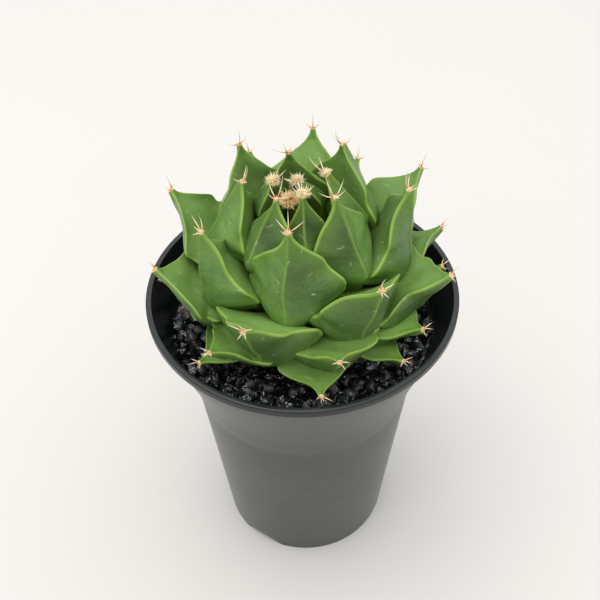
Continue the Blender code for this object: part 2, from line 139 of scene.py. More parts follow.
# Tone of a tubercle's skin left and right of the keel and on its inner face, where it differs
# from one: below one is darker, painted shade where a face lies among others or turns from the
# light; above one is paler, painted light; only partly the tubercle's own tone.
LIGHT_AND_SHADE_TONES = {
    1: (0.6, 0.6, 0.6), 2: (0.42, 0.36, 0.6), 3: (0.8, 0.8, 0.7), 5: (0.9, 0.55, 0.7),
    6: (1.0, 1.0, 0.65), 7: (0.5, 1.3, 1.0), 8: (1.0, 1.35, 1.0), 9: (1.0, 1.0, 0.72),
    10: (1.12, 0.72, 1.0), 11: (1.0, 1.0, 0.66), 12: (1.05, 1.0, 0.52), 13: (1.0, 1.35, 0.85),
    14: (1.0, 1.0, 1.15), 15: (0.75, 0.78, 1.0), 16: (1.0, 1.0, 0.92), 17: (1.0, 1.0, 0.92),
    18: (0.85, 0.62, 1.15), 20: (0.6, 0.8, 0.95), 21: (1.0, 1.0, 0.88), 23: (0.9, 0.9, 0.9),
    28: (1.5, 1.3, 1.5), 31: (1.0, 1.0, 1.1),
}
ROOTED = 8.0 * MM
WOOLLY_AREOLES = 20
TUBERCLE_ROWS = 72
TUBERCLE_COLUMNS = 72
MARGIN_BEAD = 0.24 * MM
HEEL = 4.4 * MM  # how far the inner face swells at the base of a grown tubercle
AREOLE_RADIUS = 0.65 * MM
CROWN_SINK = 1.2 * MM  # how far the middle of the crown's tuft lies under its top
CROWN_SPINES = 18

# Stage: the camera's tilt and roll in degrees and its place, then the large soft light
CAMERA_PITCH, CAMERA_ROLL = 45.641, -1.185
CAMERA_PLACE = (-0.58 * MM, -153.41 * MM, 236.55 * MM)
KEY_PLACE = (-0.20, -0.08, 0.80)
KEY_AIM = (0.0, 0.0, 0.08)
KEY_SIZE = 0.6
KEY_COLOUR = (1.0, 0.965, 0.92)


# ---------------------------------------------------------------- sizes a user may change

class CactusPotSettings(bpy.types.PropertyGroup):
    """Finish of the moulded pot."""

    wall_colour: FloatVectorProperty(
        name="Wall colour", description="Matt outer wall", default=(0.058, 0.066, 0.060), **COLOUR)
    lip_colour: FloatVectorProperty(
        name="Lip colour", description="Satin lip and inner wall",
        default=(0.007, 0.0105, 0.0100), **COLOUR)
    segments: IntProperty(
        name="Segments", description="Steps round the pot", default=288, min=48, max=720)


class CactusGritSettings(bpy.types.PropertyGroup):
    """Size and colour of the crushed stone."""

    stone_size: FloatProperty(
        name="Stone size", description="Usual radius of a stone", default=1.6 * MM,
        min=0.3 * MM, max=3.0 * MM, **LENGTH)
    spacing: FloatProperty(
        name="Spacing", description="Distance between stones of one layer", default=2.8 * MM,
        min=0.8 * MM, max=6.0 * MM, **LENGTH)
    colour: FloatVectorProperty(
        name="Colour", description="Colour of most stones", default=(0.0035, 0.0042, 0.005),
        **COLOUR)


class CactusPlantSettings(bpy.types.PropertyGroup):
    """Colours and sizes of the plant."""

    flesh_colour: FloatVectorProperty(
        name="Flesh colour", description="Middle of a tubercle's faces",
        default=(0.102, 0.210, 0.037), **COLOUR)
    edge_colour: FloatVectorProperty(
        name="Edge colour", description="Bright margins and keel", default=(0.27, 0.44, 0.065),
        **COLOUR)
    spine_length: FloatProperty(
        name="Spine length", description="Longest spine of a young tubercle",
        default=6.3 * MM, min=1.0 * MM, max=12.0 * MM, **LENGTH)
    spine_radius: FloatProperty(
        name="Spine radius", description="Radius of a spine at its foot", default=0.16 * MM,
        min=0.05 * MM, max=0.5 * MM, **LENGTH)
    hair_radius: FloatProperty(
        name="Hair radius", description="Radius of a wool hair", default=0.06 * MM,
        min=0.01 * MM, max=0.2 * MM, **LENGTH)


class CactusStageSettings(bpy.types.PropertyGroup):
    """Floor, light and camera."""

    floor_colour: FloatVectorProperty(
        name="Floor colour", description="Pale ground", default=(0.640, 0.622, 0.596), **COLOUR)
    sky_strength: FloatProperty(
        name="Sky strength", description="Even light from all round", default=0.405, min=0.0,
        max=5.0)
    zenith_gain: FloatProperty(
        name="Zenith gain", description="How much brighter the light is overhead", default=3.3,
        min=0.0, max=10.0)
    front_fade: FloatProperty(
        name="Front fade", description="Share of the even light missing in front", default=0.05,
        min=0.0, max=1.0)
    key_power: FloatProperty(
        name="Key power", description="Power of the large soft light", default=1.95, min=0.0,
        max=50.0)
    lens: FloatProperty(
        name="Lens", description="Focal length on a 36 mm sensor", default=54.0, min=10.0,
        max=300.0)


# ---------------------------------------------------------------- meshes from arrays

def signed_volume(points, face_sets):
    """Six times the volume: the sum over fans of a . (b x c), positive when faces look out."""
    total = 0.0
    for faces in face_sets:
        for corner in range(1, faces.shape[1] - 1):
            a, b, c = points[faces[:, 0]], points[faces[:, corner]], points[faces[:, corner + 1]]
            total += float(np.einsum("ij,ij->", a, np.cross(b, c)))
    return total


def make_mesh(name, points, face_sets, marks):
    """Mesh from an array of points, arrays of face corners and named values per point."""
    if signed_volume(points, face_sets) < 0.0:
        face_sets = [faces[:, ::-1] for faces in face_sets]
    mesh = bpy.data.meshes.new(name)
    corners = np.concatenate([faces.ravel() for faces in face_sets])
    sizes = np.concatenate([np.full(len(faces), faces.shape[1]) for faces in face_sets])
    starts = np.concatenate(([0], np.cumsum(sizes)[:-1]))
    mesh.vertices.add(len(points))
    mesh.vertices.foreach_set("co", points.astype(np.float32).ravel())
    mesh.loops.add(len(corners))
    mesh.loops.foreach_set("vertex_index", corners.astype(np.int32))
    mesh.polygons.add(len(sizes))
    mesh.polygons.foreach_set("loop_start", starts.astype(np.int32))
    mesh.update(calc_edges=True)
    mesh.validate()
    for mark, values in marks.items():
        if values.ndim == 2:
            layer = mesh.attributes.new(mark, 'FLOAT_VECTOR', 'POINT')
            layer.data.foreach_set("vector", values.astype(np.float32).ravel())
        else:
            layer = mesh.attributes.new(mark, 'FLOAT', 'POINT')
            layer.data.foreach_set("value", values.astype(np.float32))
    return mesh


def add_piece(name, mesh, material, nodes=()):
    """Link a finished mesh as a piece that rides on the body and stands for CAD nodes."""
    piece = bpy.data.objects.new(name, mesh)
    bpy.context.scene.collection.objects.link(piece)
    mesh.materials.append(material)
    mesh.shade_smooth()
    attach(piece, BODY)
    if nodes:
        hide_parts(*nodes)
    return piece


def build_piece(name, points, faces, marks, material, nodes=()):
    """A piece made from its points, face corners and named values."""
    return add_piece(name, make_mesh(name, points, faces, marks), material, nodes)


def ring_faces(rows, columns):
    """Quads between closed rings of points, then fans to a pole before and a pole after."""
    row = np.arange(rows - 1)[:, None] * columns
    step = np.arange(columns)[None, :]
    after = (step + 1) % columns
    quads = np.stack((row + step, row + after, row + columns + after, row + columns + step),
                     axis=-1).reshape(-1, 4)
    step, after = step[0], after[0]
    first, last = rows * columns, rows * columns + 1
    start = np.stack((np.full(columns, first), after, step), axis=-1)
    end = (rows - 1) * columns
    finish = np.stack((np.full(columns, last), end + step, end + after), axis=-1)
    return quads, np.concatenate((start, finish))


def close_ends(grid):
    """Flatten a grid of closed rings (rows, columns, 3) and add the two poles."""
    poles = np.stack((grid[0].mean(axis=0), grid[-1].mean(axis=0)))
    return np.concatenate((grid.reshape(-1, 3), poles))


def with_poles(values):
    """Values per grid point, with those of the two poles added from the end rings."""
    flat = values.reshape(-1, *values.shape[2:])
    poles = np.stack((values[0].mean(axis=0), values[-1].mean(axis=0)))
    return np.concatenate((flat, poles))


def repeat_faces(face_sets, copies, size):
    """Face arrays of many copies of one shape whose points follow each other."""
    shift = (np.arange(copies) * size)[:, None, None]
    return [(faces[None] + shift).reshape(-1, faces.shape[1]) for faces in face_sets]


def unit(vectors):
    """Directions of vectors along the last axis."""
    return vectors / np.maximum(np.linalg.norm(vectors, axis=-1, keepdims=True), 1e-12)


def full_turn(steps):
    """Angles of even steps round a full turn."""
    return np.linspace(0.0, FULL_TURN, steps, endpoint=False)


def tapered_tubes(roots, middles, ends, radii, rings, sides):
    """Curved tapering tubes: a ring of points carried along a quadratic curve.

    The centre at share s is (1-s)^2 root + 2s(1-s) middle + s^2 end, and the radius falls as
    1 - 0.93 s^1.5 to a fine point.  Returns the points of all tubes, their faces and each
    point's s.
    """
    count = len(roots)
    share = np.linspace(0.0, 1.0, rings)[None, :, None]
    centre = ((1.0 - share) ** 2 * roots[:, None] + 2.0 * share * (1.0 - share) * middles[:, None]
              + share ** 2 * ends[:, None])
    heading = unit((1.0 - share) * (middles - roots)[:, None] + share * (ends - middles)[:, None])
    helper = np.where(np.abs(heading[:, :1, 2:]) > 0.8, np.array((1.0, 0.0, 0.0)), UP)
    side = unit(np.cross(heading, helper))
    front = np.cross(heading, side)
    turn = full_turn(sides)
    radius = radii[:, None, None, None] * (1.0 - 0.93 * share[..., None] ** 1.5)
    grid = centre[:, :, None] + radius * (side[:, :, None] * np.cos(turn)[:, None]
                                          + front[:, :, None] * np.sin(turn)[:, None])
    points = np.concatenate((grid.reshape(count, -1, 3), roots[:, None], ends[:, None]), axis=1)
    along = np.concatenate((np.repeat(share[0, :, 0], sides), (0.0, 1.0)))
    faces = repeat_faces(ring_faces(rings, sides), count, points.shape[1])
    return points.reshape(-1, 3), faces, np.tile(along, count)


# ---------------------------------------------------------------- pot

def smooth_line(knots, steps):
    """Points on a smooth line through knots: cubic Hermite with the knots' mean slopes."""
    knots = np.array(knots)
    slopes = np.gradient(knots, axis=0)
    share = np.linspace(0.0, 1.0, steps, endpoint=False)[:, None]
    parts = []
    for start, end, leave, arrive in zip(knots, knots[1:], slopes, slopes[1:]):
        parts.append((1 + 2 * share) * (1 - share) ** 2 * start + share * (1 - share) ** 2 * leave
                     + share ** 2 * (3 - 2 * share) * end - share ** 2 * (1 - share) * arrive)
    return np.concatenate(parts + [knots[-1:]])


def arc(centre, radius, start, end, steps):
    """Points on an arc in the (radius, height) plane between two angles in degrees."""
    angles = np.radians(np.linspace(start, end, steps))
    return np.array(centre) + radius * np.stack((np.cos(angles), np.sin(angles)), axis=-1)


def pot_profile():
    """The pot's section and, for each point, how satin its finish is.

    It runs from the middle of the underside over the foot, up the wall, round the rolled lip
    and down the inside to the middle of the floor.
    """
    wall = smooth_line(OUTER_WALL[1:], 10)
    flank = np.linspace(np.array(OUTER_WALL[0]), wall[0], 28, endpoint=False)
    inner = np.stack((wall[:, 0] - WALL, wall[:, 1]), axis=-1)[::-1]
    low = np.array((FOOT_RADIUS + 0.25 * MM - WALL, FLOOR_TOP + 1.0 * MM))
    under = [(reach * MM, FOOT_HEIGHT) for reach in (3.0, 12.0, 19.6)]
    floor = [(reach, FLOOR_TOP) for reach in (low[0] - 1.2 * MM, 9.0 * MM, 3.0 * MM)]
    parts = (
        (np.array(under), 0.4),
        (arc((FOOT_RADIUS - FOOT_WIDTH + 0.3 * MM, 0.3 * MM), 0.3 * MM, 180, 270, 5), 0.4),
        (arc((FOOT_RADIUS - 0.5 * MM, 0.5 * MM), 0.5 * MM, 270, 355, 7), 0.4),
        (flank[1:], 0.0),
        (wall[:-1], 0.0),
        (arc((RIM_RADIUS - 0.5 * MM, RIM_Z - 1.7 * MM), 0.5 * MM, -70, 0, 6), 1.0),
        (arc((RIM_RADIUS - 0.45 * MM, RIM_Z - 0.45 * MM), 0.45 * MM, 0, 90, 7), 1.0),
        (arc((RIM_RADIUS - 1.15 * MM, RIM_Z - 0.35 * MM), 0.35 * MM, 90, 180, 6), 1.0),
        (inner[1:], 1.0),
        (np.linspace(inner[-1], low, 24)[1:], 1.0),
        (np.array(floor), 1.0),
    )
    line = np.concatenate([part for part, _ in parts])
    satin = np.concatenate([np.full(len(part), value) for part, value in parts])
    return line, satin


def pot_mesh(segments):
    """Turn the section about +Z; the foot's rim lifts over three shallow arches.

    Under an arch the height of the lowest points grows by sqrt(p^2 - x^2) - (p - rise), with x
    the distance along the foot from the arch's middle and p the radius of its circle.
    """
    line, satin = pot_profile()
    angle = full_turn(segments)
    radius, height = line[:, :1], line[:, 1:]
    arch = (NOTCH_CHORD ** 2 / 4.0 + NOTCH_RISE ** 2) / (2.0 * NOTCH_RISE)
    lift = np.zeros(segments)
    for bearing in NOTCH_BEARINGS:
        off = (angle - math.radians(bearing) + math.pi) % FULL_TURN - math.pi
        along = FOOT_RADIUS * np.sin(np.clip(off, -1.0, 1.0))
        curve = np.sqrt(np.maximum(arch ** 2 - along ** 2, 0.0))
        lift = np.maximum(lift, curve - arch + NOTCH_RISE)
    fade = np.clip(1.0 - height / (4.0 * MM), 0.0, 1.0) * (radius > 20.0 * MM)
    grid = np.stack((radius * np.cos(angle), radius * np.sin(angle), height + lift * fade), axis=-1)
    marks = {"satin": np.concatenate((np.repeat(satin, segments), (0.4, 1.0)))}
    return make_mesh("pot_shell", close_ends(grid), ring_faces(len(line), segments), marks)


def drilled(mesh, segments=40):
    """The pot's mesh with the drain holes cut through its floor."""
    body = bpy.data.objects.new("pot_blank", mesh)
    bpy.context.scene.collection.objects.link(body)
    turn = full_turn(segments)
    circle = DRAIN_RADIUS * np.stack((np.cos(turn), np.sin(turn)), axis=-1)
    bearings = FULL_TURN * (np.arange(DRAIN_COUNT) + 0.25) / DRAIN_COUNT
    centres = DRAIN_CIRCLE * np.stack((np.cos(bearings), np.sin(bearings)), axis=-1)
    centres = np.concatenate((((0.0, 0.0),), centres))
    heights = np.array((FOOT_HEIGHT - 2.0 * MM, FLOOR_TOP + 2.0 * MM))
    drills = []
    for number, centre in enumerate(centres):
        grid = np.empty((2, segments, 3))
        grid[..., :2] = centre + circle
        grid[..., 2] = heights[:, None]
        blank = make_mesh("drill", close_ends(grid), ring_faces(2, segments), {})
        drill = bpy.data.objects.new("drill_%d" % number, blank)
        bpy.context.scene.collection.objects.link(drill)
        step = body.modifiers.new(drill.name, 'BOOLEAN')
        step.operation, step.solver, step.object = 'DIFFERENCE', 'EXACT', drill
        drills.append(drill)
    graph = bpy.context.evaluated_depsgraph_get()
    result = bpy.data.meshes.new_from_object(body.evaluated_get(graph))
    for helper in drills + [body]:
        bpy.data.objects.remove(helper)
    return result


# ---------------------------------------------------------------- growth of the tubercles

def stage(age):
    """Sizes of a tubercle of one age in metres: the columns of STAGES after the first."""
    return [float(np.interp(age, STAGES[:, 0], column)) * MM for column in STAGES.T[1:]]


def compass(age):
    """Sideways and outward unit vectors of a tubercle of one age."""
    bearing = math.radians(FIRST_BEARING - DIVERGENCE * age)
    outwards = np.array((math.cos(bearing), math.sin(bearing), 0.0))
    return np.array((-outwards[1], outwards[0], 0.0)), outwards


def tip_point(age):
    """Tip of a tubercle: its place on the leaning spiral and its own wander."""
    reach, height = stage(age)[:2]
    sideways, outwards = compass(age)
    x, y = reach * outwards[0], reach * outwards[1]
    spot = np.array((x + LEAN_X * height, y + LEAN_Y * height + SPIRAL_SHIFT_Y,
                     RIM_Z + height - LEAN_X * x - LEAN_Y * y))
    side, out, up = WANDER.get(age, (0, 0, 0))
    return spot + MM * (side * sideways + out * outwards + up * UP)


def base_point(age):
    """Middle of a tubercle's base, on the stem."""
    reach, height = stage(age)[2:4]
    return compass(age)[1] * reach + np.array((0.0, 0.0, RIM_Z + height))


def backbone(age):
    """Tip, middle and base of a tubercle's centre curve, and its across direction."""
    sideways, outwards = compass(age)
    tip, base = tip_point(age), base_point(age)
    along = unit(tip - base)
    away = unit(np.cross(along, sideways))
    if away @ (outwards - np.array((0.0, 0.0, 0.7))) < 0.0:
        away = -away
    across = np.cross(away, along)
    if across @ sideways < 0.0:
        across = -across
    roll = math.radians(HABIT.get(age, USUAL_HABIT)[4])
    away, across = (away * math.cos(roll) + across * math.sin(roll),
                    across * math.cos(roll) - away * math.sin(roll))
    middle = 0.55 * base + 0.45 * tip + stage(age)[6] * away
    return tip, middle, base, across, away


def ogee_share(place, shoulder):
    """Half width at a place as a share of the widest, which is at the shoulder."""
    rise = np.minimum(place / shoulder, 1.0)
    fall = np.maximum((place - shoulder) / (1.0 - shoulder), 0.0)
    return 0.36 * rise ** 0.8 + 0.32 * (1.0 - np.cos(math.pi * rise)) - 0.42 * fall ** 1.7


def tubercle_skin(age):
    """Skin of one tubercle as a grid of rings from its tip to its rooted base.

    Along the leaf, the half width at place p is the shoulder width times an ogee
    0.36 r^0.8 + 0.32(1 - cos(pi r)), r = p / shoulder, which falls off again as 0.42 f^1.7 towards
    the base; each side has its own shoulder and adds its own slow waves.  Across it, q runs
    from -1 to 1 along the outer face and back along the inner one.  The outer face stands off
    the blade by depth times 0.05 + 0.95 p^0.9, shared out across it as (1 - |q|)^0.9, a keel,
    which gives way to 1 - |q|^2.5, a belly, towards the base.
    """
    random = np.random.default_rng(100 + age)
    half_width, depth = stage(age)[4:6]
    left, right, left_shoulder, right_shoulder, _, drift = HABIT.get(age, USUAL_HABIT)
    tip, middle, base, across, away = backbone(age)
    length = float(np.linalg.norm(tip - base))
    place = np.linspace(0.0, 1.0, TUBERCLE_ROWS) ** 1.12
    place = np.concatenate((place, (1.0 + 0.5 * ROOTED / length, 1.0 + ROOTED / length)))[:, None]
    near = np.minimum(place, 1.0)
    rise = 1.0 - near
    centre = near ** 2 * base + 2.0 * rise * near * middle + rise ** 2 * tip
    heading = unit(near * (middle - base) + rise * (tip - middle))
    centre = centre - heading * (place - near) * length
    inwards = unit(np.cross(across, heading))
    inwards = np.where((inwards @ away)[:, None] > 0.0, -inwards, inwards)

    turn = full_turn(TUBERCLE_COLUMNS)[None, :]
    turn = turn + 0.35 * np.sin(2.0 * turn)
    across_share = -np.cos(turn)
    outer = np.sin(turn) >= -1e-9
    grown = min(age / 12.0, 1.0)
    phases = random.uniform(0.0, FULL_TURN, 8)
    window = np.sin(math.pi * near)
    side = across_share > 0.0
    phase_side = np.where(side, phases[0], phases[1])
    phase_rise = np.where(side, phases[2], phases[3])
    ripple = 0.085 * np.sin(FULL_TURN * 1.9 * near + phase_side)
    ripple = ripple + 0.05 * np.sin(FULL_TURN * 4.3 * near + 2.0 * phase_side)
    rooted = 1.0 - 0.4 * np.clip((place - 1.0) * length / ROOTED, 0.0, 1.0)
    mean_width = half_width * rooted * ogee_share(near, 0.5 * (left_shoulder + right_shoulder))
    width = half_width * rooted * np.where(side, right * ogee_share(near, right_shoulder),
                                           left * ogee_share(near, left_shoulder))
    width = np.hypot(width * (1.0 + grown * window * ripple), AREOLE_RADIUS)
    ease = 1.0 - 0.3 * np.clip((near - 0.78) / 0.22, 0.0, 1.0) ** 2
    keel = depth * rooted * ease * (0.05 + 0.95 * near ** 0.9)
    keel = np.hypot(keel, AREOLE_RADIUS)

    stray = drift * window ** 2 + 0.4 * grown * window * np.sin(
        FULL_TURN * 1.15 * near + phases[4])
    shift = stray * MM / (half_width * rooted)
    keeled = np.where(across_share > shift, (across_share - shift) / (1.0 - shift),
                      (across_share - shift) / (1.0 + shift))
    edge = np.clip(1.25 - 1.1 * near, 0.1, 1.0)
    drop = (edge * (1.0 - np.abs(keeled)) ** 0.9
            + (1.0 - edge) * (1.0 - np.abs(keeled) ** 2.5))
    ridge_fade = np.clip((0.86 - near) / 0.15, 0.0, 1.0)
    ridge = 0.36 * MM * ridge_fade * np.exp(-(keeled * width / (0.45 * MM)) ** 2) * grown
    waves = 0.2 * MM * grown * window * (1.0 - across_share ** 2) * np.sin(
        FULL_TURN * 2.1 * near + 4.0 * across_share + phases[5])
    belly = 0.05 * width * (near - 0.4) * np.sin(math.pi * np.abs(keeled))
    bead = MARGIN_BEAD * np.minimum(0.3 + 4.0 * near, 1.0) * grown ** 0.5
    round_edge = bead * np.sqrt(np.maximum(1.0 - np.abs(across_share) ** 26, 0.0))
    swell = np.maximum(0.04 * mean_width, AREOLE_RADIUS * (1.0 - near / 0.1))
    swell = swell + HEEL * grown ** 2 * np.clip((near - 0.4) / 0.6, 0.0, 1.0) ** 1.5
    groove = 0.16 * MM * np.exp(-(across_share * width / (0.6 * MM)) ** 2) * window
    lower = waves - (keel * drop + ridge + belly + round_edge)
    upper = swell * (1.0 - across_share ** 2) + round_edge - groove + waves
    curl = (0.1 if age > 12 else 0.0) * width * across_share ** 2
    flutter = 1.1 * MM * grown ** 2 * window * across_share ** 2 * np.sin(
        FULL_TURN * 1.6 * near + phase_rise)
    offset = np.where(outer, lower, upper) + curl + flutter
    grid = (centre[:, None] + across * (width * across_share)[..., None]
            + inwards[:, None] * offset[..., None])

    full = np.ones_like(offset)
    edge_gap = width * (1.0 - np.abs(across_share)) / MM
    crest_gap = np.where(outer, np.abs(keeled) * width / MM, 20.0)
    layer = np.where(outer, 1.0, -1.0) * np.minimum(20.0 * np.abs(np.sin(turn)), 1.0)
    # Painted light and shade: each face's tone, easing off towards the base on the outer face
    left_light_and_shade, right_light_and_shade, inner_light_and_shade = LIGHT_AND_SHADE_TONES.get(age, (1.0, 1.0, 1.0))
    turned = np.clip(0.5 + 3.0 * keeled, 0.0, 1.0)
    even = 0.8 * np.clip((near - 0.5) / 0.35, 0.0, 1.0)
    outer_light_and_shade = left_light_and_shade + (right_light_and_shade - left_light_and_shade) * turned
    tone = np.where(outer, outer_light_and_shade + (1.0 - outer_light_and_shade) * even, inner_light_and_shade)
    skin = np.stack((width * across_share / MM + 31.7 * age, near * full * length / MM,
                     3.0 * layer * full), axis=-1)
    marks = {
        "edge_gap": with_poles(edge_gap * full),
        "crest_gap": with_poles(crest_gap * full),
        "place": with_poles(near * full),
        "inner_face": with_poles(np.where(outer, 0.0, 1.0) * full),
        "tone": with_poles(tone * full),
        "skin": with_poles(skin),
    }
    return grid, marks


# ---------------------------------------------------------------- spines and wool

def areole_frame(age):
    """Seat of a tubercle's areole with its forward, inner and sideways directions."""
    tip, middle, _, across, away = backbone(age)
    forwards = unit(tip - middle)
    inner = unit(-away + forwards * (away @ forwards))
    return tip, forwards, inner, across


def crown_centre():
    """Middle of the tuft on the growing point."""
    low, high = (np.array(corner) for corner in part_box("crown_wool"))
    middle = (low + high) / 2.0
    return np.array((middle[0], middle[1], high[2] - CROWN_SINK))


def spine_lines(length):
    """Root, middle and end of every spine, and its share of the full thickness: per areole one
    long inner spine, two at the sides and short ones behind, each leaning out from the tip and
    bending back inwards, more of them on the youngest, and a star of them on the crown."""
    random = np.random.default_rng(31)
    roots, middles, ends, sizes = [], [], [], []
    for age in range(1, TUBERCLES + 1):
        tip, forwards, inner, across = areole_frame(age)
        wear = max(1.0 - 0.014 * age, 0.45)
        young = min(0.45 + 0.12 * age, 1.0)
        pattern = [(random.uniform(-20, 20), 35, 1.0), (random.uniform(58, 88), 62, 0.72),
                   (-random.uniform(58, 88), 62, 0.72), (180 + random.uniform(-35, 35), 68, 0.42)]
        if random.random() < 0.55:
            pattern.append((random.choice((-1, 1)) * random.uniform(120, 150), 66, 0.4))
        fresh = max(1.0 - age / 6.0, 0.0)
        for _ in range(int(9 * fresh)):
            pattern.append((random.uniform(-110, 110), random.uniform(15, 60), 0.62))
        for around, lean, share in pattern:
            size = length * share * wear * young * random.uniform(0.8, 1.12)
            lean = math.radians(lean + random.uniform(-9, 9))
            radial = (inner * math.cos(math.radians(around))
                      + across * math.sin(math.radians(around)))
            start = unit(forwards * math.cos(lean) + radial * math.sin(lean))
            bend = lean - math.radians(random.uniform(12, 42))
            final = unit(forwards * math.cos(bend) + radial * math.sin(bend))
            root = tip + forwards * 0.15 * MM + radial * 0.2 * MM + start * 0.7 * fresh * MM
            roots.append(root)
            middles.append(root + start * 0.5 * size)
            ends.append(root + start * 0.5 * size + final * 0.5 * size)
            sizes.append(0.75 + 0.25 * share)
    crown = crown_centre()
    for number in range(CROWN_SPINES):
        around, lean = 2.4 * number, math.radians(random.uniform(10, 85))
        start = np.array((math.cos(around) * math.sin(lean), math.sin(around) * math.sin(lean),
                          math.cos(lean)))
        size = random.uniform(1.6, 2.9) * MM
        root = crown + 0.9 * MM * start
        roots.append(root)
        middles.append(root + 0.5 * size * start)
        ends.append(root + size * unit(start + 0.25 * random.normal(size=3)))
        sizes.append(0.7)
    return np.array(roots), np.array(middles), np.array(ends), np.array(sizes)


def tuft(random, centre, up, radius, height, length, count):
    """Roots, middles and ends of hairs that grow out of a small dome in all directions."""
    spread = unit(random.normal(size=(count, 3)))
    below = spread @ up
    spread = spread - np.minimum(below, 0.0)[:, None] * 1.6 * up
    spread = unit(spread)
    flat = spread - (spread @ up)[:, None] * up
    roots = centre + 0.55 * (flat * radius + up * (spread @ up)[:, None] * height)
    lengths = length * random.uniform(0.5, 1.2, (count, 1))
    middles = roots + spread * 0.5 * lengths + random.normal(size=(count, 3)) * 0.16 * length
    ends = middles + unit(spread + 0.8 * random.normal(size=(count, 3))) * 0.5 * lengths
    return roots, middles, ends


def dome_grids(centres, ups, radii, rows=9, columns=14):
    """Small lumpy balls: the radius wavers by a tenth with the angles.  One grid each."""
    polar = np.linspace(0.12, math.pi - 0.12, rows)[:, None]
    turn = full_turn(columns)[None, :]
    points = []
    for number, (centre, up, radius) in enumerate(zip(centres, ups, radii)):
        helper = np.array((1.0, 0.0, 0.0)) if abs(up[2]) > 0.8 else UP
        side = unit(np.cross(up, helper))
        front = np.cross(up, side)
        waver = 1.0 + 0.1 * np.sin(3.0 * turn + number) * np.sin(2.0 * polar + number)
        shell = radius * waver
        grid = (centre + (shell * np.cos(polar))[..., None] * up * 0.8
                + (shell * np.sin(polar) * np.cos(turn))[..., None] * side
                + (shell * np.sin(polar) * np.sin(turn))[..., None] * front)
        points.append(close_ends(grid))
    size = len(points[0])
    return np.concatenate(points), repeat_faces(ring_faces(rows, columns), len(points), size)


# ---------------------------------------------------------------- grit

def stone_template():
    """Corners and triangles of an octahedron with each face split in four."""
    axes = np.concatenate((np.eye(3), -np.eye(3)))
    triangles = [(0, 1, 2), (1, 3, 2), (3, 4, 2), (4, 0, 2), (1, 0, 5), (3, 1, 5), (4, 3, 5),
                 (0, 4, 5)]
    corners = [tuple(corner) for corner in axes]
    faces = []
    for a, b, c in triangles:
        middles = []
        for first, second in ((a, b), (b, c), (c, a)):
            middle = tuple(unit(axes[first] + axes[second]).round(6))
            if middle not in corners:
                corners.append(middle)
            middles.append(corners.index(middle))
        ab, bc, ca = middles
        faces += [(a, ab, ca), (ab, b, bc), (ca, bc, c), (ab, bc, ca)]
    return np.array(corners), np.array(faces)


def crushed_stones(random, centres, sizes):
    """Stones cut by random planes: along a direction d the radius is the least h / (d . n)
    over a stone's planes of normal n and distance h, at most 1.2, then the stone is squeezed
    along its own axes and turned at random."""
    directions, faces = stone_template()
    count = len(centres)
    normals = unit(random.normal(size=(count, 10, 3)))
    distances = random.uniform(0.62, 1.0, (count, 10))
    facing = np.einsum("vk,npk->nvp", directions, normals)
    reach = np.where(facing > 0.15, distances[:, None] / np.maximum(facing, 0.15), 9.0)
    radius = np.minimum(reach.min(axis=2), 1.2)
    squeeze = random.uniform(0.72, 1.2, (count, 1, 3))
    local = directions[None] * radius[..., None] * squeeze
    turned, _ = np.linalg.qr(random.normal(size=(count, 3, 3)))
    turned = turned * np.sign(np.linalg.det(turned))[:, None, None]
    points = np.einsum("nvk,nkj->nvj", local, turned) * sizes[:, None, None] + centres[:, None]
    tones = np.repeat(random.uniform(0.0, 1.0, count), len(directions))
    return points.reshape(-1, 3), repeat_faces([faces], count, len(directions)), tones


def inner_radius(height):
    """Radius of the pot's inner wall at a height."""
    wall = np.array(OUTER_WALL)
    return np.interp(height, wall[:, 1], wall[:, 0]) - WALL


def stone_bed(random, spacing, height, size):
    """Centres and sizes of one layer of stones on a jittered triangular lattice."""
    steps = np.arange(-22, 23)
    column, row = np.meshgrid(steps, steps)
    x = (column + 0.5 * (row % 2)) * spacing
    y = row * spacing * 0.866
    flat = np.stack((x.ravel(), y.ravel()), axis=-1)
    flat = flat + random.uniform(-0.34, 0.34, flat.shape) * spacing
    sizes = size * np.exp(random.normal(0.0, 0.2, len(flat)))
    reach = np.hypot(flat[:, 0], flat[:, 1])
    keep = (reach < inner_radius(height) - 0.8 * sizes) & (reach > 11.0 * MM)
    flat, sizes = flat[keep], sizes[keep]
    rise = random.normal(0.0, 0.4 * MM, len(flat))
    return np.column_stack((flat, height + rise)), sizes


def bed_surface(segments=120, rows=26):
    """The shaded ground under the stones: a disc with slow waves and a closed underside."""
    angle = full_turn(segments)[None, :]
    reach = np.linspace(8.0 * MM, inner_radius(GRIT_TOP - 1.6 * MM) - 0.15 * MM, rows)[:, None]
    waves = 0.25 * MM * np.sin(reach * 900.0 + 3.0 * angle) * np.cos(reach * 700.0 - 5.0 * angle)
    top = GRIT_TOP - 1.9 * MM + waves
    upper = np.stack((reach * np.cos(angle), reach * np.sin(angle), top), axis=-1)
    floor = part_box("grit_layer")[0].z
    edge = inner_radius(floor) - 0.15 * MM
    lower = np.stack((edge * np.cos(angle), edge * np.sin(angle), np.full_like(angle, floor)),
                     axis=-1)
    grid = np.concatenate((upper, lower))
    return close_ends(grid), ring_faces(rows + 1, segments)


# ---------------------------------------------------------------- node groups

def new_group(name, inputs, outputs):
    """A shader node group with named sockets: (name, socket type, default)."""
    group = bpy.data.node_groups.new(name, 'ShaderNodeTree')
    for label, kind, value in inputs:
        socket = group.interface.new_socket(label, in_out='INPUT', socket_type=kind)
        if value is not None:
            socket.default_value = value
    for label, kind in outputs:
        group.interface.new_socket(label, in_out='OUTPUT', socket_type=kind)
    return group, group.nodes.new("NodeGroupInput"), group.nodes.new("NodeGroupOutput")


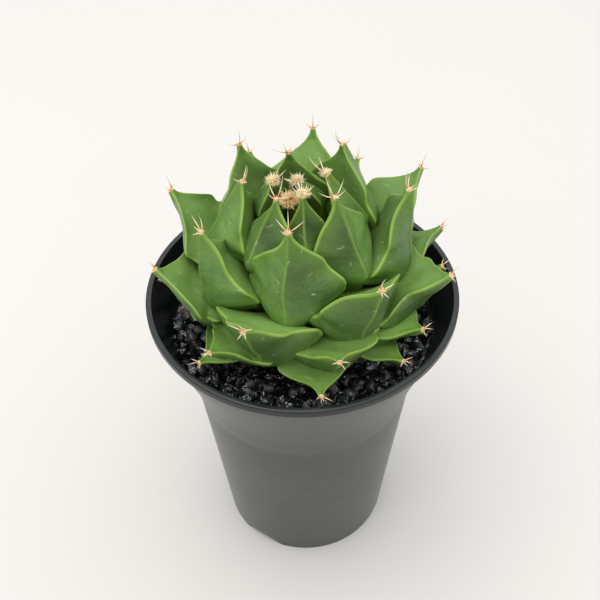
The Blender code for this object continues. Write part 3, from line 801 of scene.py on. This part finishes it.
def wire(tree, value, socket):
    """Link a value to an input, or set a plain number or colour on it."""
    if isinstance(value, bpy.types.NodeSocket):
        tree.links.new(value, socket)
    else:
        socket.default_value = value


def add_node(tree, kind, settings=None, **links):
    """Add a node; keyword values link sockets or set their constants by name."""
    node = tree.nodes.new(kind)
    for key, value in (settings or {}).items():
        setattr(node, key, value)
    for key, value in links.items():
        wire(tree, value, pick(node, key))
    return node


def pick(node, key):
    """An input by its name with underscores for spaces, or by number as in i0."""
    if key[0] == "i" and key[1:].isdigit():
        return node.inputs[int(key[1:])]
    for socket in node.inputs:
        if socket.enabled and socket.name.replace(" ", "_") == key:
            return socket
    raise KeyError("%s has no input %s" % (node.name, key))


def out(node, name):
    """The enabled output of that name."""
    for socket in node.outputs:
        if socket.enabled and socket.name == name:
            return socket
    raise KeyError("%s has no output %s" % (node.name, name))


def sums(tree, operation, first, second=0.0):
    """A Math node's value."""
    return add_node(tree, "ShaderNodeMath", {"operation": operation}, i0=first,
                    i1=second).outputs[0]


def times(tree, first, second):
    """Two values multiplied."""
    return sums(tree, 'MULTIPLY', first, second)


def spread(tree, value, low, high):
    """A value stretched from low..high to 0..1 with soft ends."""
    node = add_node(tree, "ShaderNodeMapRange", {"interpolation_type": 'SMOOTHSTEP'},
                    Value=value, From_Min=low, From_Max=high)
    return out(node, "Result")


def carried(tree, value, low, high):
    """A value from 0..1 carried evenly to low..high."""
    node = add_node(tree, "ShaderNodeMapRange", Value=value, To_Min=low, To_Max=high)
    return out(node, "Result")


def blend_colour(tree, share, first, second, mode='MIX'):
    """A Mix Color node's colour."""
    node = add_node(tree, "ShaderNodeMix", {"data_type": 'RGBA', "blend_type": mode})
    for number, value in ((0, share), (6, first), (7, second)):
        wire(tree, value, node.inputs[number])
    return node.outputs[2]


def blend_value(tree, share, first, second):
    """A Mix node's plain value."""
    node = add_node(tree, "ShaderNodeMix", {"data_type": 'FLOAT'})
    for number, value in ((0, share), (2, first), (3, second)):
        wire(tree, value, node.inputs[number])
    return node.outputs[0]


def colour_ramp(tree, value, stops):
    """Colours along a value from (position, colour) stops, the first at 0, the last at 1."""
    node = add_node(tree, "ShaderNodeValToRGB", i0=value)
    marks = node.color_ramp.elements
    marks[0].color, marks[1].color = stops[0][1], stops[-1][1]
    for position, colour in stops[1:-1]:
        marks.new(position).color = colour
    return node.outputs[0]


def mottle_group():
    """Soft patches: two noises, one broad and one fine, brought to a mask."""
    group, start, end = new_group(
        "mottle", [("Vector", 'NodeSocketVector', None), ("Scale", 'NodeSocketFloat', 1.0),
                   ("Fine", 'NodeSocketFloat', 0.35)],
        [("Mask", 'NodeSocketFloat')])
    broad = add_node(group, "ShaderNodeTexNoise", Vector=start.outputs[0],
                     Scale=start.outputs[1], Detail=2.0, Roughness=0.5)
    finer = times(group, start.outputs[1], 6.3)
    fine = add_node(group, "ShaderNodeTexNoise", Vector=start.outputs[0], Scale=finer,
                    Detail=3.0, Roughness=0.6)
    one = spread(group, out(broad, "Fac"), 0.35, 0.65)
    two = spread(group, out(fine, "Fac"), 0.3, 0.7)
    group.links.new(blend_value(group, start.outputs[2], one, two), end.inputs[0])
    return group


def fleck_group():
    """Sparse scratches: in some cells of a flat Voronoi, a short stroke at its own angle.

    The stroke's mask is one where the distance along the stroke and across it are both small.
    """
    group, start, end = new_group(
        "flecks", [("Vector", 'NodeSocketVector', None), ("Scale", 'NodeSocketFloat', 0.2),
                   ("Length", 'NodeSocketFloat', 0.11), ("Width", 'NodeSocketFloat', 0.02),
                   ("Share", 'NodeSocketFloat', 0.35)],
        [("Mask", 'NodeSocketFloat')])
    warp = add_node(group, "ShaderNodeTexNoise", {"noise_dimensions": '2D'},
                    Vector=start.outputs[0], Scale=0.9, Detail=1.0)
    bent = add_node(group, "ShaderNodeVectorMath", {"operation": 'MULTIPLY_ADD'},
                    i0=out(warp, "Color"), i1=(0.9, 0.9, 0.0), i2=start.outputs[0])
    cells = add_node(group, "ShaderNodeTexVoronoi", {"voronoi_dimensions": '2D'},
                     Vector=bent.outputs[0], Scale=start.outputs[1])
    scaled = add_node(group, "ShaderNodeVectorMath", {"operation": 'SCALE'}, i0=bent.outputs[0],
                      Scale=start.outputs[1])
    placed = add_node(group, "ShaderNodeVectorMath", {"operation": 'SCALE'},
                      i0=out(cells, "Position"), Scale=start.outputs[1])
    offset = add_node(group, "ShaderNodeVectorMath", {"operation": 'SUBTRACT'},
                      i0=scaled.outputs[0], i1=placed.outputs[0])
    chance = add_node(group, "ShaderNodeSeparateColor", Color=out(cells, "Color"))
    angle = times(group, chance.outputs[0], 6.283)
    turned = add_node(group, "ShaderNodeVectorRotate", {"rotation_type": 'Z_AXIS'},
                      Vector=offset.outputs[0], Angle=angle)
    parts = add_node(group, "ShaderNodeSeparateXYZ", Vector=turned.outputs[0])
    along, across = (sums(group, 'DIVIDE', sums(group, 'ABSOLUTE', parts.outputs[axis]),
                          start.outputs[axis + 2]) for axis in (0, 1))
    inside = times(group, spread(group, along, 1.0, 0.4), spread(group, across, 1.0, 0.3))
    some = sums(group, 'LESS_THAN', chance.outputs[1], start.outputs[4])
    group.links.new(times(group, inside, some), end.inputs[0])
    return group


def grain_group():
    """Noise with four finer layers, between 0 and 1: a relief for a Bump node, or a mask."""
    group, start, end = new_group(
        "grain", [("Vector", 'NodeSocketVector', None), ("Scale", 'NodeSocketFloat', 1000.0),
                  ("Roughness", 'NodeSocketFloat', 0.55)],
        [("Height", 'NodeSocketFloat')])
    noise = add_node(group, "ShaderNodeTexNoise", Vector=start.outputs[0],
                     Scale=start.outputs[1], Detail=4.0, Roughness=start.outputs[2])
    group.links.new(out(noise, "Fac"), end.inputs[0])
    return group


def grouped(tree, name, **links):
    """Place a node group in a material."""
    node = tree.nodes.new("ShaderNodeGroup")
    node.node_tree = bpy.data.node_groups[name]
    for key, value in links.items():
        wire(tree, value, pick(node, key))
    return node.outputs[0]


# ---------------------------------------------------------------- materials

def new_material(name, roughness, **constants):
    """A material with its Principled shader's plain values set."""
    material = bpy.data.materials.new(name)
    material.use_nodes = True
    shader = material.node_tree.nodes["Principled BSDF"]
    shader.inputs["Roughness"].default_value = roughness
    for key, value in constants.items():
        shader.inputs[key.replace("_", " ")].default_value = value
    return material, material.node_tree, shader


def mark(tree, name, vector=False):
    """A named value of the mesh."""
    node = add_node(tree, "ShaderNodeAttribute", {"attribute_name": name})
    return node.outputs["Vector"] if vector else node.outputs["Fac"]


def object_coordinates(tree):
    """Object coordinates."""
    return tree.nodes.new("ShaderNodeTexCoord").outputs["Object"]


def bump(tree, shader, height, strength, distance):
    """Feed a height through a Bump node into the shader's normal."""
    node = add_node(tree, "ShaderNodeBump", Strength=strength, Distance=distance)
    tree.links.new(height, node.inputs["Height"])
    tree.links.new(node.outputs[0], shader.inputs["Normal"])


def rgba(colour, factor=1.0):
    """A colour with full alpha, brightened or darkened by a factor."""
    return tuple(min(channel * factor, 1.0) for channel in colour) + (1.0,)


def flesh_material(settings):
    """Waxy green skin: greyer in the middle of a face, yellower towards the edges, with a thin
    bright line along margins and keel, faint cross streaks, old scratches and a deeper green
    foot; with painted light, paler, on the inner face, which looks up, and painted light and
    shade from each face's tone."""
    material, tree, shader = new_material("tubercle_flesh", 0.42, Specular_IOR_Level=0.42)
    flesh, edge = settings.flesh_colour, settings.edge_colour
    skin, place = mark(tree, "skin", True), mark(tree, "place")
    edge_gap, crest_gap = mark(tree, "edge_gap"), mark(tree, "crest_gap")
    patches = grouped(tree, "mottle", Vector=skin, Scale=0.17, Fine=0.3)
    colour = blend_colour(tree, patches, rgba((flesh[0] * 0.56, flesh[1] * 0.72, flesh[2] * 0.80)),
                          rgba((flesh[0] * 1.55, flesh[1] * 1.32, flesh[2] * 1.35)))
    weave = grouped(tree, "mottle", Vector=skin, Scale=1.1, Fine=0.6)
    colour = blend_colour(tree, times(tree, weave, 0.75), colour,
                          rgba((flesh[0] * 0.52, flesh[1] * 0.64, flesh[2] * 0.45)))
    bloom = grouped(tree, "mottle", Vector=skin, Scale=2.6, Fine=0.7)
    colour = blend_colour(tree, times(tree, spread(tree, bloom, 0.55, 1.0), 0.45),
                          colour, rgba((0.24, 0.32, 0.17)))
    stretched = add_node(tree, "ShaderNodeVectorMath", {"operation": 'MULTIPLY'}, i0=skin,
                         i1=(0.35, 2.6, 1.0))
    streaks = grouped(tree, "mottle", Vector=stretched.outputs[0], Scale=0.9, Fine=0.5)
    # Faint cross streaks; then painted light: the inner face, which looks up, painted paler
    for mask, share, tint in (
            (spread(tree, streaks, 0.45, 1.0), 0.36, (0.16, 0.25, 0.105)),
            (mark(tree, "inner_face"), 0.6, (0.200, 0.350, 0.080))):
        colour = blend_colour(tree, times(tree, mask, share), colour, rgba(tint))
    # Painted light and shade: colour times each face's tone, darker among others, paler in light
    colour = blend_colour(tree, 1.0, colour, mark(tree, "tone"), 'MULTIPLY')
    crest = times(tree, spread(tree, crest_gap, 0.55, 0.05), spread(tree, place, 0.88, 0.7))
    scratches = grouped(tree, "flecks", Vector=skin, Scale=0.26, Length=0.2, Width=0.024,
                        Share=0.6)
    for mask, share, tint in (
            (spread(tree, edge_gap, 3.4, 0.0), 0.5, rgba((0.125, 0.235, 0.032))),
            (spread(tree, place, 0.35, 0.02), 0.4, rgba((0.110, 0.245, 0.032))),
            (spread(tree, place, 0.62, 0.95), 0.7, rgba((0.110, 0.225, 0.024))),
            (crest, 0.55, rgba(edge, 0.85)),
            (spread(tree, edge_gap, 0.42, 0.05), 0.8, rgba(edge)),
            (scratches, 0.55, rgba((0.50, 0.58, 0.38)))):
        colour = blend_colour(tree, times(tree, mask, share), colour, tint)
    tree.links.new(colour, shader.inputs["Base Color"])
    tree.links.new(carried(tree, patches, 0.34, 0.52), shader.inputs["Roughness"])
    relief = sums(tree, 'ADD', times(tree, streaks, 0.5),
                  grouped(tree, "grain", Vector=skin, Scale=3.0, Roughness=0.6))
    bump(tree, shader, relief, 0.5, 0.12 * MM)
    return material


def spine_material():
    """Red-brown at the foot, cream along the middle, darker again at the point."""
    material, tree, shader = new_material("spine_horn", 0.45)
    horn = colour_ramp(tree, mark(tree, "along"), (
        (0.0, (0.46, 0.10, 0.02, 1.0)), (0.14, (0.66, 0.27, 0.08, 1.0)),
        (0.34, (0.93, 0.72, 0.45, 1.0)), (0.75, (0.98, 0.88, 0.68, 1.0)),
        (1.0, (0.85, 0.58, 0.33, 1.0))))
    shade = grouped(tree, "mottle", Vector=object_coordinates(tree), Scale=900.0, Fine=0.5)
    colour = blend_colour(tree, times(tree, shade, 0.12), horn, (0.45, 0.22, 0.10, 1.0))
    tree.links.new(colour, shader.inputs["Base Color"])
    return material


def wool_material(name, light, dark):
    """Felted hair: pale towards the ends, darker and yellower at the roots."""
    material, tree, shader = new_material(name, 0.9, Sheen_Weight=0.3, Specular_IOR_Level=0.2)
    shade = grouped(tree, "mottle", Vector=object_coordinates(tree), Scale=500.0, Fine=0.5)
    along = sums(tree, 'ADD', mark(tree, "along"), times(tree, shade, 0.5))
    colour = blend_colour(tree, spread(tree, along, 0.1, 1.1), rgba(dark), rgba(light))
    tree.links.new(colour, shader.inputs["Base Color"])
    return material


def pot_material(settings):
    """Moulded plastic: matt and faintly mottled outside, satin and near black on the lip."""
    material, tree, shader = new_material("pot_plastic", 0.5, Sheen_Roughness=0.35)
    place = object_coordinates(tree)
    satin = mark(tree, "satin")
    patches = grouped(tree, "mottle", Vector=place, Scale=55.0, Fine=0.5)
    wall = blend_colour(tree, patches, rgba(settings.wall_colour, 0.86),
                        rgba(settings.wall_colour, 1.12))
    scuffs = grouped(tree, "flecks", Vector=place, Scale=90.0, Length=0.12, Width=0.012,
                     Share=0.3)
    wall = blend_colour(tree, times(tree, scuffs, 0.3), wall,
                        rgba(settings.wall_colour, 1.9))
    colour = blend_colour(tree, satin, wall, rgba(settings.lip_colour))
    tree.links.new(colour, shader.inputs["Base Color"])
    tree.links.new(carried(tree, satin, 0.46, 0.30), shader.inputs["Roughness"])
    tree.links.new(carried(tree, satin, 0.16, 0.0), shader.inputs["Sheen Weight"])
    bump(tree, shader, grouped(tree, "grain", Vector=place, Scale=3500.0), 0.2, 0.03 * MM)
    return material


def stone_material(name, colour, rough_low, rough_high):
    """Crushed stone: mostly black and glossy, some grey or brown, with painted glints, pale
    specks on the faces that look up.
    """
    material, tree, shader = new_material(name, 0.3, Specular_IOR_Level=0.45, Coat_Weight=0.25,
                                          Coat_Roughness=0.08)
    place, tone = object_coordinates(tree), mark(tree, "tone")
    stone = colour_ramp(tree, tone, (
        (0.0, rgba(colour)), (0.72, rgba(colour, 1.6)), (0.92, (0.020, 0.017, 0.014, 1.0)),
        (0.96, (0.030, 0.030, 0.031, 1.0)), (1.0, (0.060, 0.048, 0.038, 1.0))))
    speck = grouped(tree, "mottle", Vector=place, Scale=1400.0, Fine=0.6)
    # Painted glints: pale specks, whitish or tan, on the faces that look up towards the light
    painted_glint_grain = grouped(tree, "grain", Vector=place, Scale=2300.0, Roughness=0.7)
    painted_glint_patch = grouped(tree, "grain", Vector=place, Scale=560.0, Roughness=0.4)
    facing = add_node(tree, "ShaderNodeSeparateXYZ",
                      Vector=tree.nodes.new("ShaderNodeNewGeometry").outputs["True Normal"])
    painted_glint = times(tree, spread(tree, painted_glint_grain, 0.55, 0.615), spread(tree, painted_glint_patch, 0.47, 0.58))
    painted_glint = times(tree, painted_glint, spread(tree, facing.outputs["Z"], 0.25, 0.9))
    painted_glint_colour = blend_colour(tree, spread(tree, tone, 0.88, 0.94), (0.80, 0.90, 0.95, 1.0),
                         (0.75, 0.60, 0.42, 1.0))
    tree.links.new(blend_colour(tree, painted_glint, stone, painted_glint_colour), shader.inputs["Base Color"])
    tree.links.new(carried(tree, speck, rough_low, rough_high), shader.inputs["Roughness"])
    bump(tree, shader, grouped(tree, "grain", Vector=place, Scale=1500.0, Roughness=0.75),
         0.5, 0.4 * MM)
    return material


def soil_material(name, dark, light, scale):
    """Peaty soil or corky bark: coarse mottling with a rough relief."""
    material, tree, shader = new_material(name, 0.95)
    place = object_coordinates(tree)
    patches = grouped(tree, "mottle", Vector=place, Scale=scale, Fine=0.5)
    tree.links.new(blend_colour(tree, patches, rgba(dark), rgba(light)),
                   shader.inputs["Base Color"])
    bump(tree, shader, grouped(tree, "grain", Vector=place, Scale=scale * 3.0), 0.8, 0.5 * MM)
    return material


def floor_material(settings):
    """Pale matt ground with the faintest unevenness."""
    material, tree, shader = new_material("floor_paper", 0.9, Specular_IOR_Level=0.1)
    patches = grouped(tree, "mottle", Vector=object_coordinates(tree), Scale=5.0, Fine=0.2)
    tree.links.new(blend_colour(tree, patches, rgba(settings.floor_colour, 0.992),
                                rgba(settings.floor_colour)), shader.inputs["Base Color"])
    return material


def studio_world(settings):
    """Pale surroundings, brighter overhead, that fade towards the front; seen directly they
    are one plain pale tone, like the floor."""
    world = bpy.data.worlds.new("studio")
    world.use_nodes = True
    tree = world.node_tree
    direction = tree.nodes.new("ShaderNodeTexCoord").outputs["Generated"]
    front = add_node(tree, "ShaderNodeVectorMath", {"operation": 'DOT_PRODUCT'}, i0=direction,
                     i1=(0.0, -1.0, 0.1))
    shade = times(tree, spread(tree, front.outputs["Value"], 0.0, 0.8), -settings.front_fade)
    height = add_node(tree, "ShaderNodeSeparateXYZ", Vector=direction).outputs["Z"]
    dome = times(tree, spread(tree, height, 0.05, 0.95), settings.zenith_gain)
    level = times(tree, sums(tree, 'ADD', shade, 1.0), sums(tree, 'ADD', dome, 1.0))
    strength = times(tree, level, settings.sky_strength)
    seen = tree.nodes.new("ShaderNodeLightPath").outputs["Is Camera Ray"]
    colour = blend_colour(tree, seen, (0.985, 0.99, 1.0, 1.0), (1.0, 0.975, 0.94, 1.0))
    background = tree.nodes["Background"]
    tree.links.new(colour, background.inputs["Color"])
    tree.links.new(blend_value(tree, seen, strength, 0.9), background.inputs["Strength"])
    return world


# ---------------------------------------------------------------- operators

class CACTUS_OT_pot(bpy.types.Operator):
    """Build the moulded pot with its lip, notched foot and drain holes"""

    bl_idname = "cactus.pot"
    bl_label = "Pot"

    def execute(self, context):
        settings = context.scene.cactus_pot
        mesh = drilled(pot_mesh(settings.segments))
        mesh.name = "pot_shell"
        piece = add_piece("pot_shell", mesh, pot_material(settings), ["pot"])
        piece.data.set_sharp_from_angle(angle=math.radians(50.0))
        return {'FINISHED'}


class CACTUS_OT_fill(bpy.types.Operator):
    """Build the crushed stone and finish the soil and the stem"""

    bl_idname = "cactus.fill"
    bl_label = "Soil and Grit"

    def execute(self, context):
        settings = context.scene.cactus_grit
        random = np.random.default_rng(12)
        size, spacing = settings.stone_size, settings.spacing
        beds = [stone_bed(random, spacing, GRIT_TOP - 0.7 * MM, size),
                stone_bed(random, spacing, GRIT_TOP - 2.0 * MM, size)]
        centres = np.concatenate([bed[0] for bed in beds])
        sizes = np.concatenate([bed[1] for bed in beds])
        points, faces, tones = crushed_stones(random, centres, sizes)
        stone = stone_material("grit_stone", settings.colour, 0.10, 0.40)
        piece = build_piece("grit_stones", points, faces, {"tone": tones}, stone)
        piece.data.set_sharp_from_angle(angle=math.radians(46.0))
        points, faces = bed_surface()
        marks = {"tone": np.zeros(len(points))}
        build_piece("grit_bed", points, faces, marks, stone, ["grit_layer"])
        soil = soil_material("peat_soil", (0.018, 0.012, 0.008), (0.075, 0.050, 0.030), 350.0)
        bark = soil_material("stem_bark", (0.10, 0.12, 0.04), (0.22, 0.20, 0.10), 300.0)
        for node, material in (("potting_mix", soil), ("stem", bark)):
            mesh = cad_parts[node].data
            mesh.materials.clear()
            mesh.materials.append(material)
        return {'FINISHED'}


class CACTUS_OT_tubercles(bpy.types.Operator):
    """Grow the tubercles of the rosette"""

    bl_idname = "cactus.tubercles"
    bl_label = "Tubercles"

    def execute(self, context):
        flesh = flesh_material(context.scene.cactus_plant)
        for age in range(1, TUBERCLES + 1):
            grid, marks = tubercle_skin(age)
            build_piece("leaf_%02d" % age, close_ends(grid), ring_faces(*grid.shape[:2]), marks,
                        flesh, ["tubercle_%02d" % age])
        return {'FINISHED'}


class CACTUS_OT_spines(bpy.types.Operator):
    """Set the spines and the felt of every areole"""

    bl_idname = "cactus.spines"
    bl_label = "Spines"

    def execute(self, context):
        settings = context.scene.cactus_plant
        roots, middles, ends, sizes = spine_lines(settings.spine_length)
        points, faces, along = tapered_tubes(roots, middles, ends,
                                             settings.spine_radius * sizes, 8, 6)
        build_piece("spines", points, faces, {"along": along}, spine_material())
        seats = [areole_frame(age) for age in range(1, TUBERCLES + 1)]
        centres = np.array([seat[0] + seat[1] * 0.05 * MM for seat in seats])
        ups = np.array([seat[1] for seat in seats])
        fresh = np.clip(3.0 - 0.6 * np.arange(1, TUBERCLES + 1), 0.0, 1.0)
        points, faces = dome_grids(centres, ups, (0.58 + 0.42 * fresh) * MM)
        marks = {"along": np.repeat(0.3 + 0.8 * fresh, len(points) // TUBERCLES)}
        felt = wool_material("areole_felt", (0.95, 0.80, 0.50), (0.60, 0.24, 0.07))
        build_piece("areole_pads", points, faces, marks, felt)
        return {'FINISHED'}


class CACTUS_OT_wool(bpy.types.Operator):
    """Comb out the wool of the crown and of the young areoles"""

    bl_idname = "cactus.wool"
    bl_label = "Wool"

    def execute(self, context):
        settings = context.scene.cactus_plant
        random = np.random.default_rng(77)
        hair = settings.hair_radius
        centre = crown_centre()
        gold = wool_material("crown_bristle", (1.0, 0.83, 0.42), (0.80, 0.48, 0.13))
        roots, middles, ends = tuft(random, centre, UP, 2.0 * MM, 1.5 * MM, 1.9 * MM, 240)
        points, faces, along = tapered_tubes(roots, middles, ends,
                                             np.full(len(roots), 1.7 * hair), 5, 4)
        build_piece("crown_bristles", points, faces, {"along": along}, gold)
        points, faces = dome_grids([centre - UP * 0.6 * MM], [UP], [1.35 * MM], 13, 20)
        marks = {"along": np.full(len(points), 0.1)}
        build_piece("crown_core", points, faces, marks, gold, ["crown_wool"])

        tufts = []
        for age in range(1, WOOLLY_AREOLES + 1):
            seat, forwards, _, _ = areole_frame(age)
            fresh = max(1.0 - age / 5.0, 0.0)
            radius = (0.6 + 0.6 * min(3.0 * fresh, 1.0)) * MM
            count = 50 + int(230 * min(3.0 * fresh, 1.0))
            tufts.append(tuft(random, seat + forwards * 0.1 * MM, forwards, 1.3 * radius,
                              1.1 * radius, 0.95 * radius, count))
        roots, middles, ends = (np.concatenate(parts) for parts in zip(*tufts))
        points, faces, along = tapered_tubes(roots, middles, ends, np.full(len(roots), hair),
                                             5, 3)
        wool = wool_material("areole_wool", (1.0, 0.95, 0.66), (1.0, 0.76, 0.36))
        build_piece("areole_wool", points, faces, {"along": along}, wool)
        return {'FINISHED'}


class CACTUS_OT_stage(bpy.types.Operator):
    """Lay the pale floor, hang the soft light and place the camera"""

    bl_idname = "cactus.stage"
    bl_label = "Stage"

    def execute(self, context):
        scene, settings = context.scene, context.scene.cactus_stage
        turn = full_turn(96)[None, :]
        reach = np.array((0.05, 0.3, 2.5, 2.5))[:, None]
        height = np.array((0.0, 0.0, 0.0, -0.02))[:, None] * np.ones_like(turn)
        grid = np.stack((reach * np.cos(turn), reach * np.sin(turn), height), axis=-1)
        ground = make_mesh("floor", close_ends(grid), ring_faces(*grid.shape[:2]), {})
        floor = bpy.data.objects.new("floor", ground)
        scene.collection.objects.link(floor)
        floor.data.materials.append(floor_material(settings))

        scene.world = studio_world(settings)
        lamp = bpy.data.lights.new("key", 'AREA')
        lamp.size, lamp.energy, lamp.color = KEY_SIZE, settings.key_power, KEY_COLOUR
        light = bpy.data.objects.new("key", lamp)
        light.location = KEY_PLACE
        aim = Vector(KEY_AIM) - Vector(KEY_PLACE)
        light.rotation_euler = aim.to_track_quat('-Z', 'Y').to_euler()
        scene.collection.objects.link(light)

        data = bpy.data.cameras.new("camera")
        data.lens = settings.lens
        data.sensor_width = 36.0
        data.clip_start, data.clip_end = 0.01, 20.0
        camera = bpy.data.objects.new("camera", data)
        scene.collection.objects.link(camera)
        pitch, roll = math.radians(CAMERA_PITCH), math.radians(CAMERA_ROLL)
        forwards = Vector((0.0, math.cos(pitch), -math.sin(pitch)))
        right, up = Vector((1.0, 0.0, 0.0)), Vector((0.0, math.sin(pitch), math.cos(pitch)))
        across = right * math.cos(roll) + up * math.sin(roll)
        upright = up * math.cos(roll) - right * math.sin(roll)
        turned = Matrix((across, upright, -forwards)).transposed().to_4x4()
        camera.matrix_world = Matrix.Translation(CAMERA_PLACE) @ turned
        scene.camera = camera
        scene.view_settings.view_transform = 'Standard'
        return {'FINISHED'}


class CACTUS_PT_panel(bpy.types.Panel):
    """Lists the cactus settings and the steps that build it"""

    bl_idname = "CACTUS_PT_panel"
    bl_label = "Potted Rosette Cactus"
    bl_space_type = 'VIEW_3D'
    bl_region_type = 'UI'
    bl_category = "Cactus"

    def draw(self, context):
        scene = context.scene
        for group, steps in (
                (scene.cactus_pot, ("cactus.pot",)), (scene.cactus_grit, ("cactus.fill",)),
                (scene.cactus_plant, ("cactus.tubercles", "cactus.spines", "cactus.wool")),
                (scene.cactus_stage, ("cactus.stage",))):
            box = self.layout.box()
            for name in group.__annotations__:
                box.prop(group, name)
            for step in steps:
                box.operator(step)


SETTINGS = (("cactus_pot", CactusPotSettings), ("cactus_grit", CactusGritSettings),
            ("cactus_plant", CactusPlantSettings), ("cactus_stage", CactusStageSettings))
STEPS = (CACTUS_OT_pot, CACTUS_OT_fill, CACTUS_OT_tubercles, CACTUS_OT_spines, CACTUS_OT_wool,
         CACTUS_OT_stage)


def register():
    """Register the settings, the steps and the panel."""
    for name, kind in SETTINGS:
        bpy.utils.register_class(kind)
        setattr(bpy.types.Scene, name, PointerProperty(type=kind))
    for kind in STEPS + (CACTUS_PT_panel,):
        bpy.utils.register_class(kind)


def unregister():
    """Undo register."""
    for kind in reversed(STEPS + (CACTUS_PT_panel,)):
        bpy.utils.unregister_class(kind)
    for name, kind in reversed(SETTINGS):
        delattr(bpy.types.Scene, name)
        bpy.utils.unregister_class(kind)


def main():
    register()
    for build_group in (mottle_group, fleck_group, grain_group):
        build_group()
    for step in STEPS:
        part, name = step.bl_idname.split(".")
        getattr(getattr(bpy.ops, part), name)()


if __name__ == "__main__":
    main()
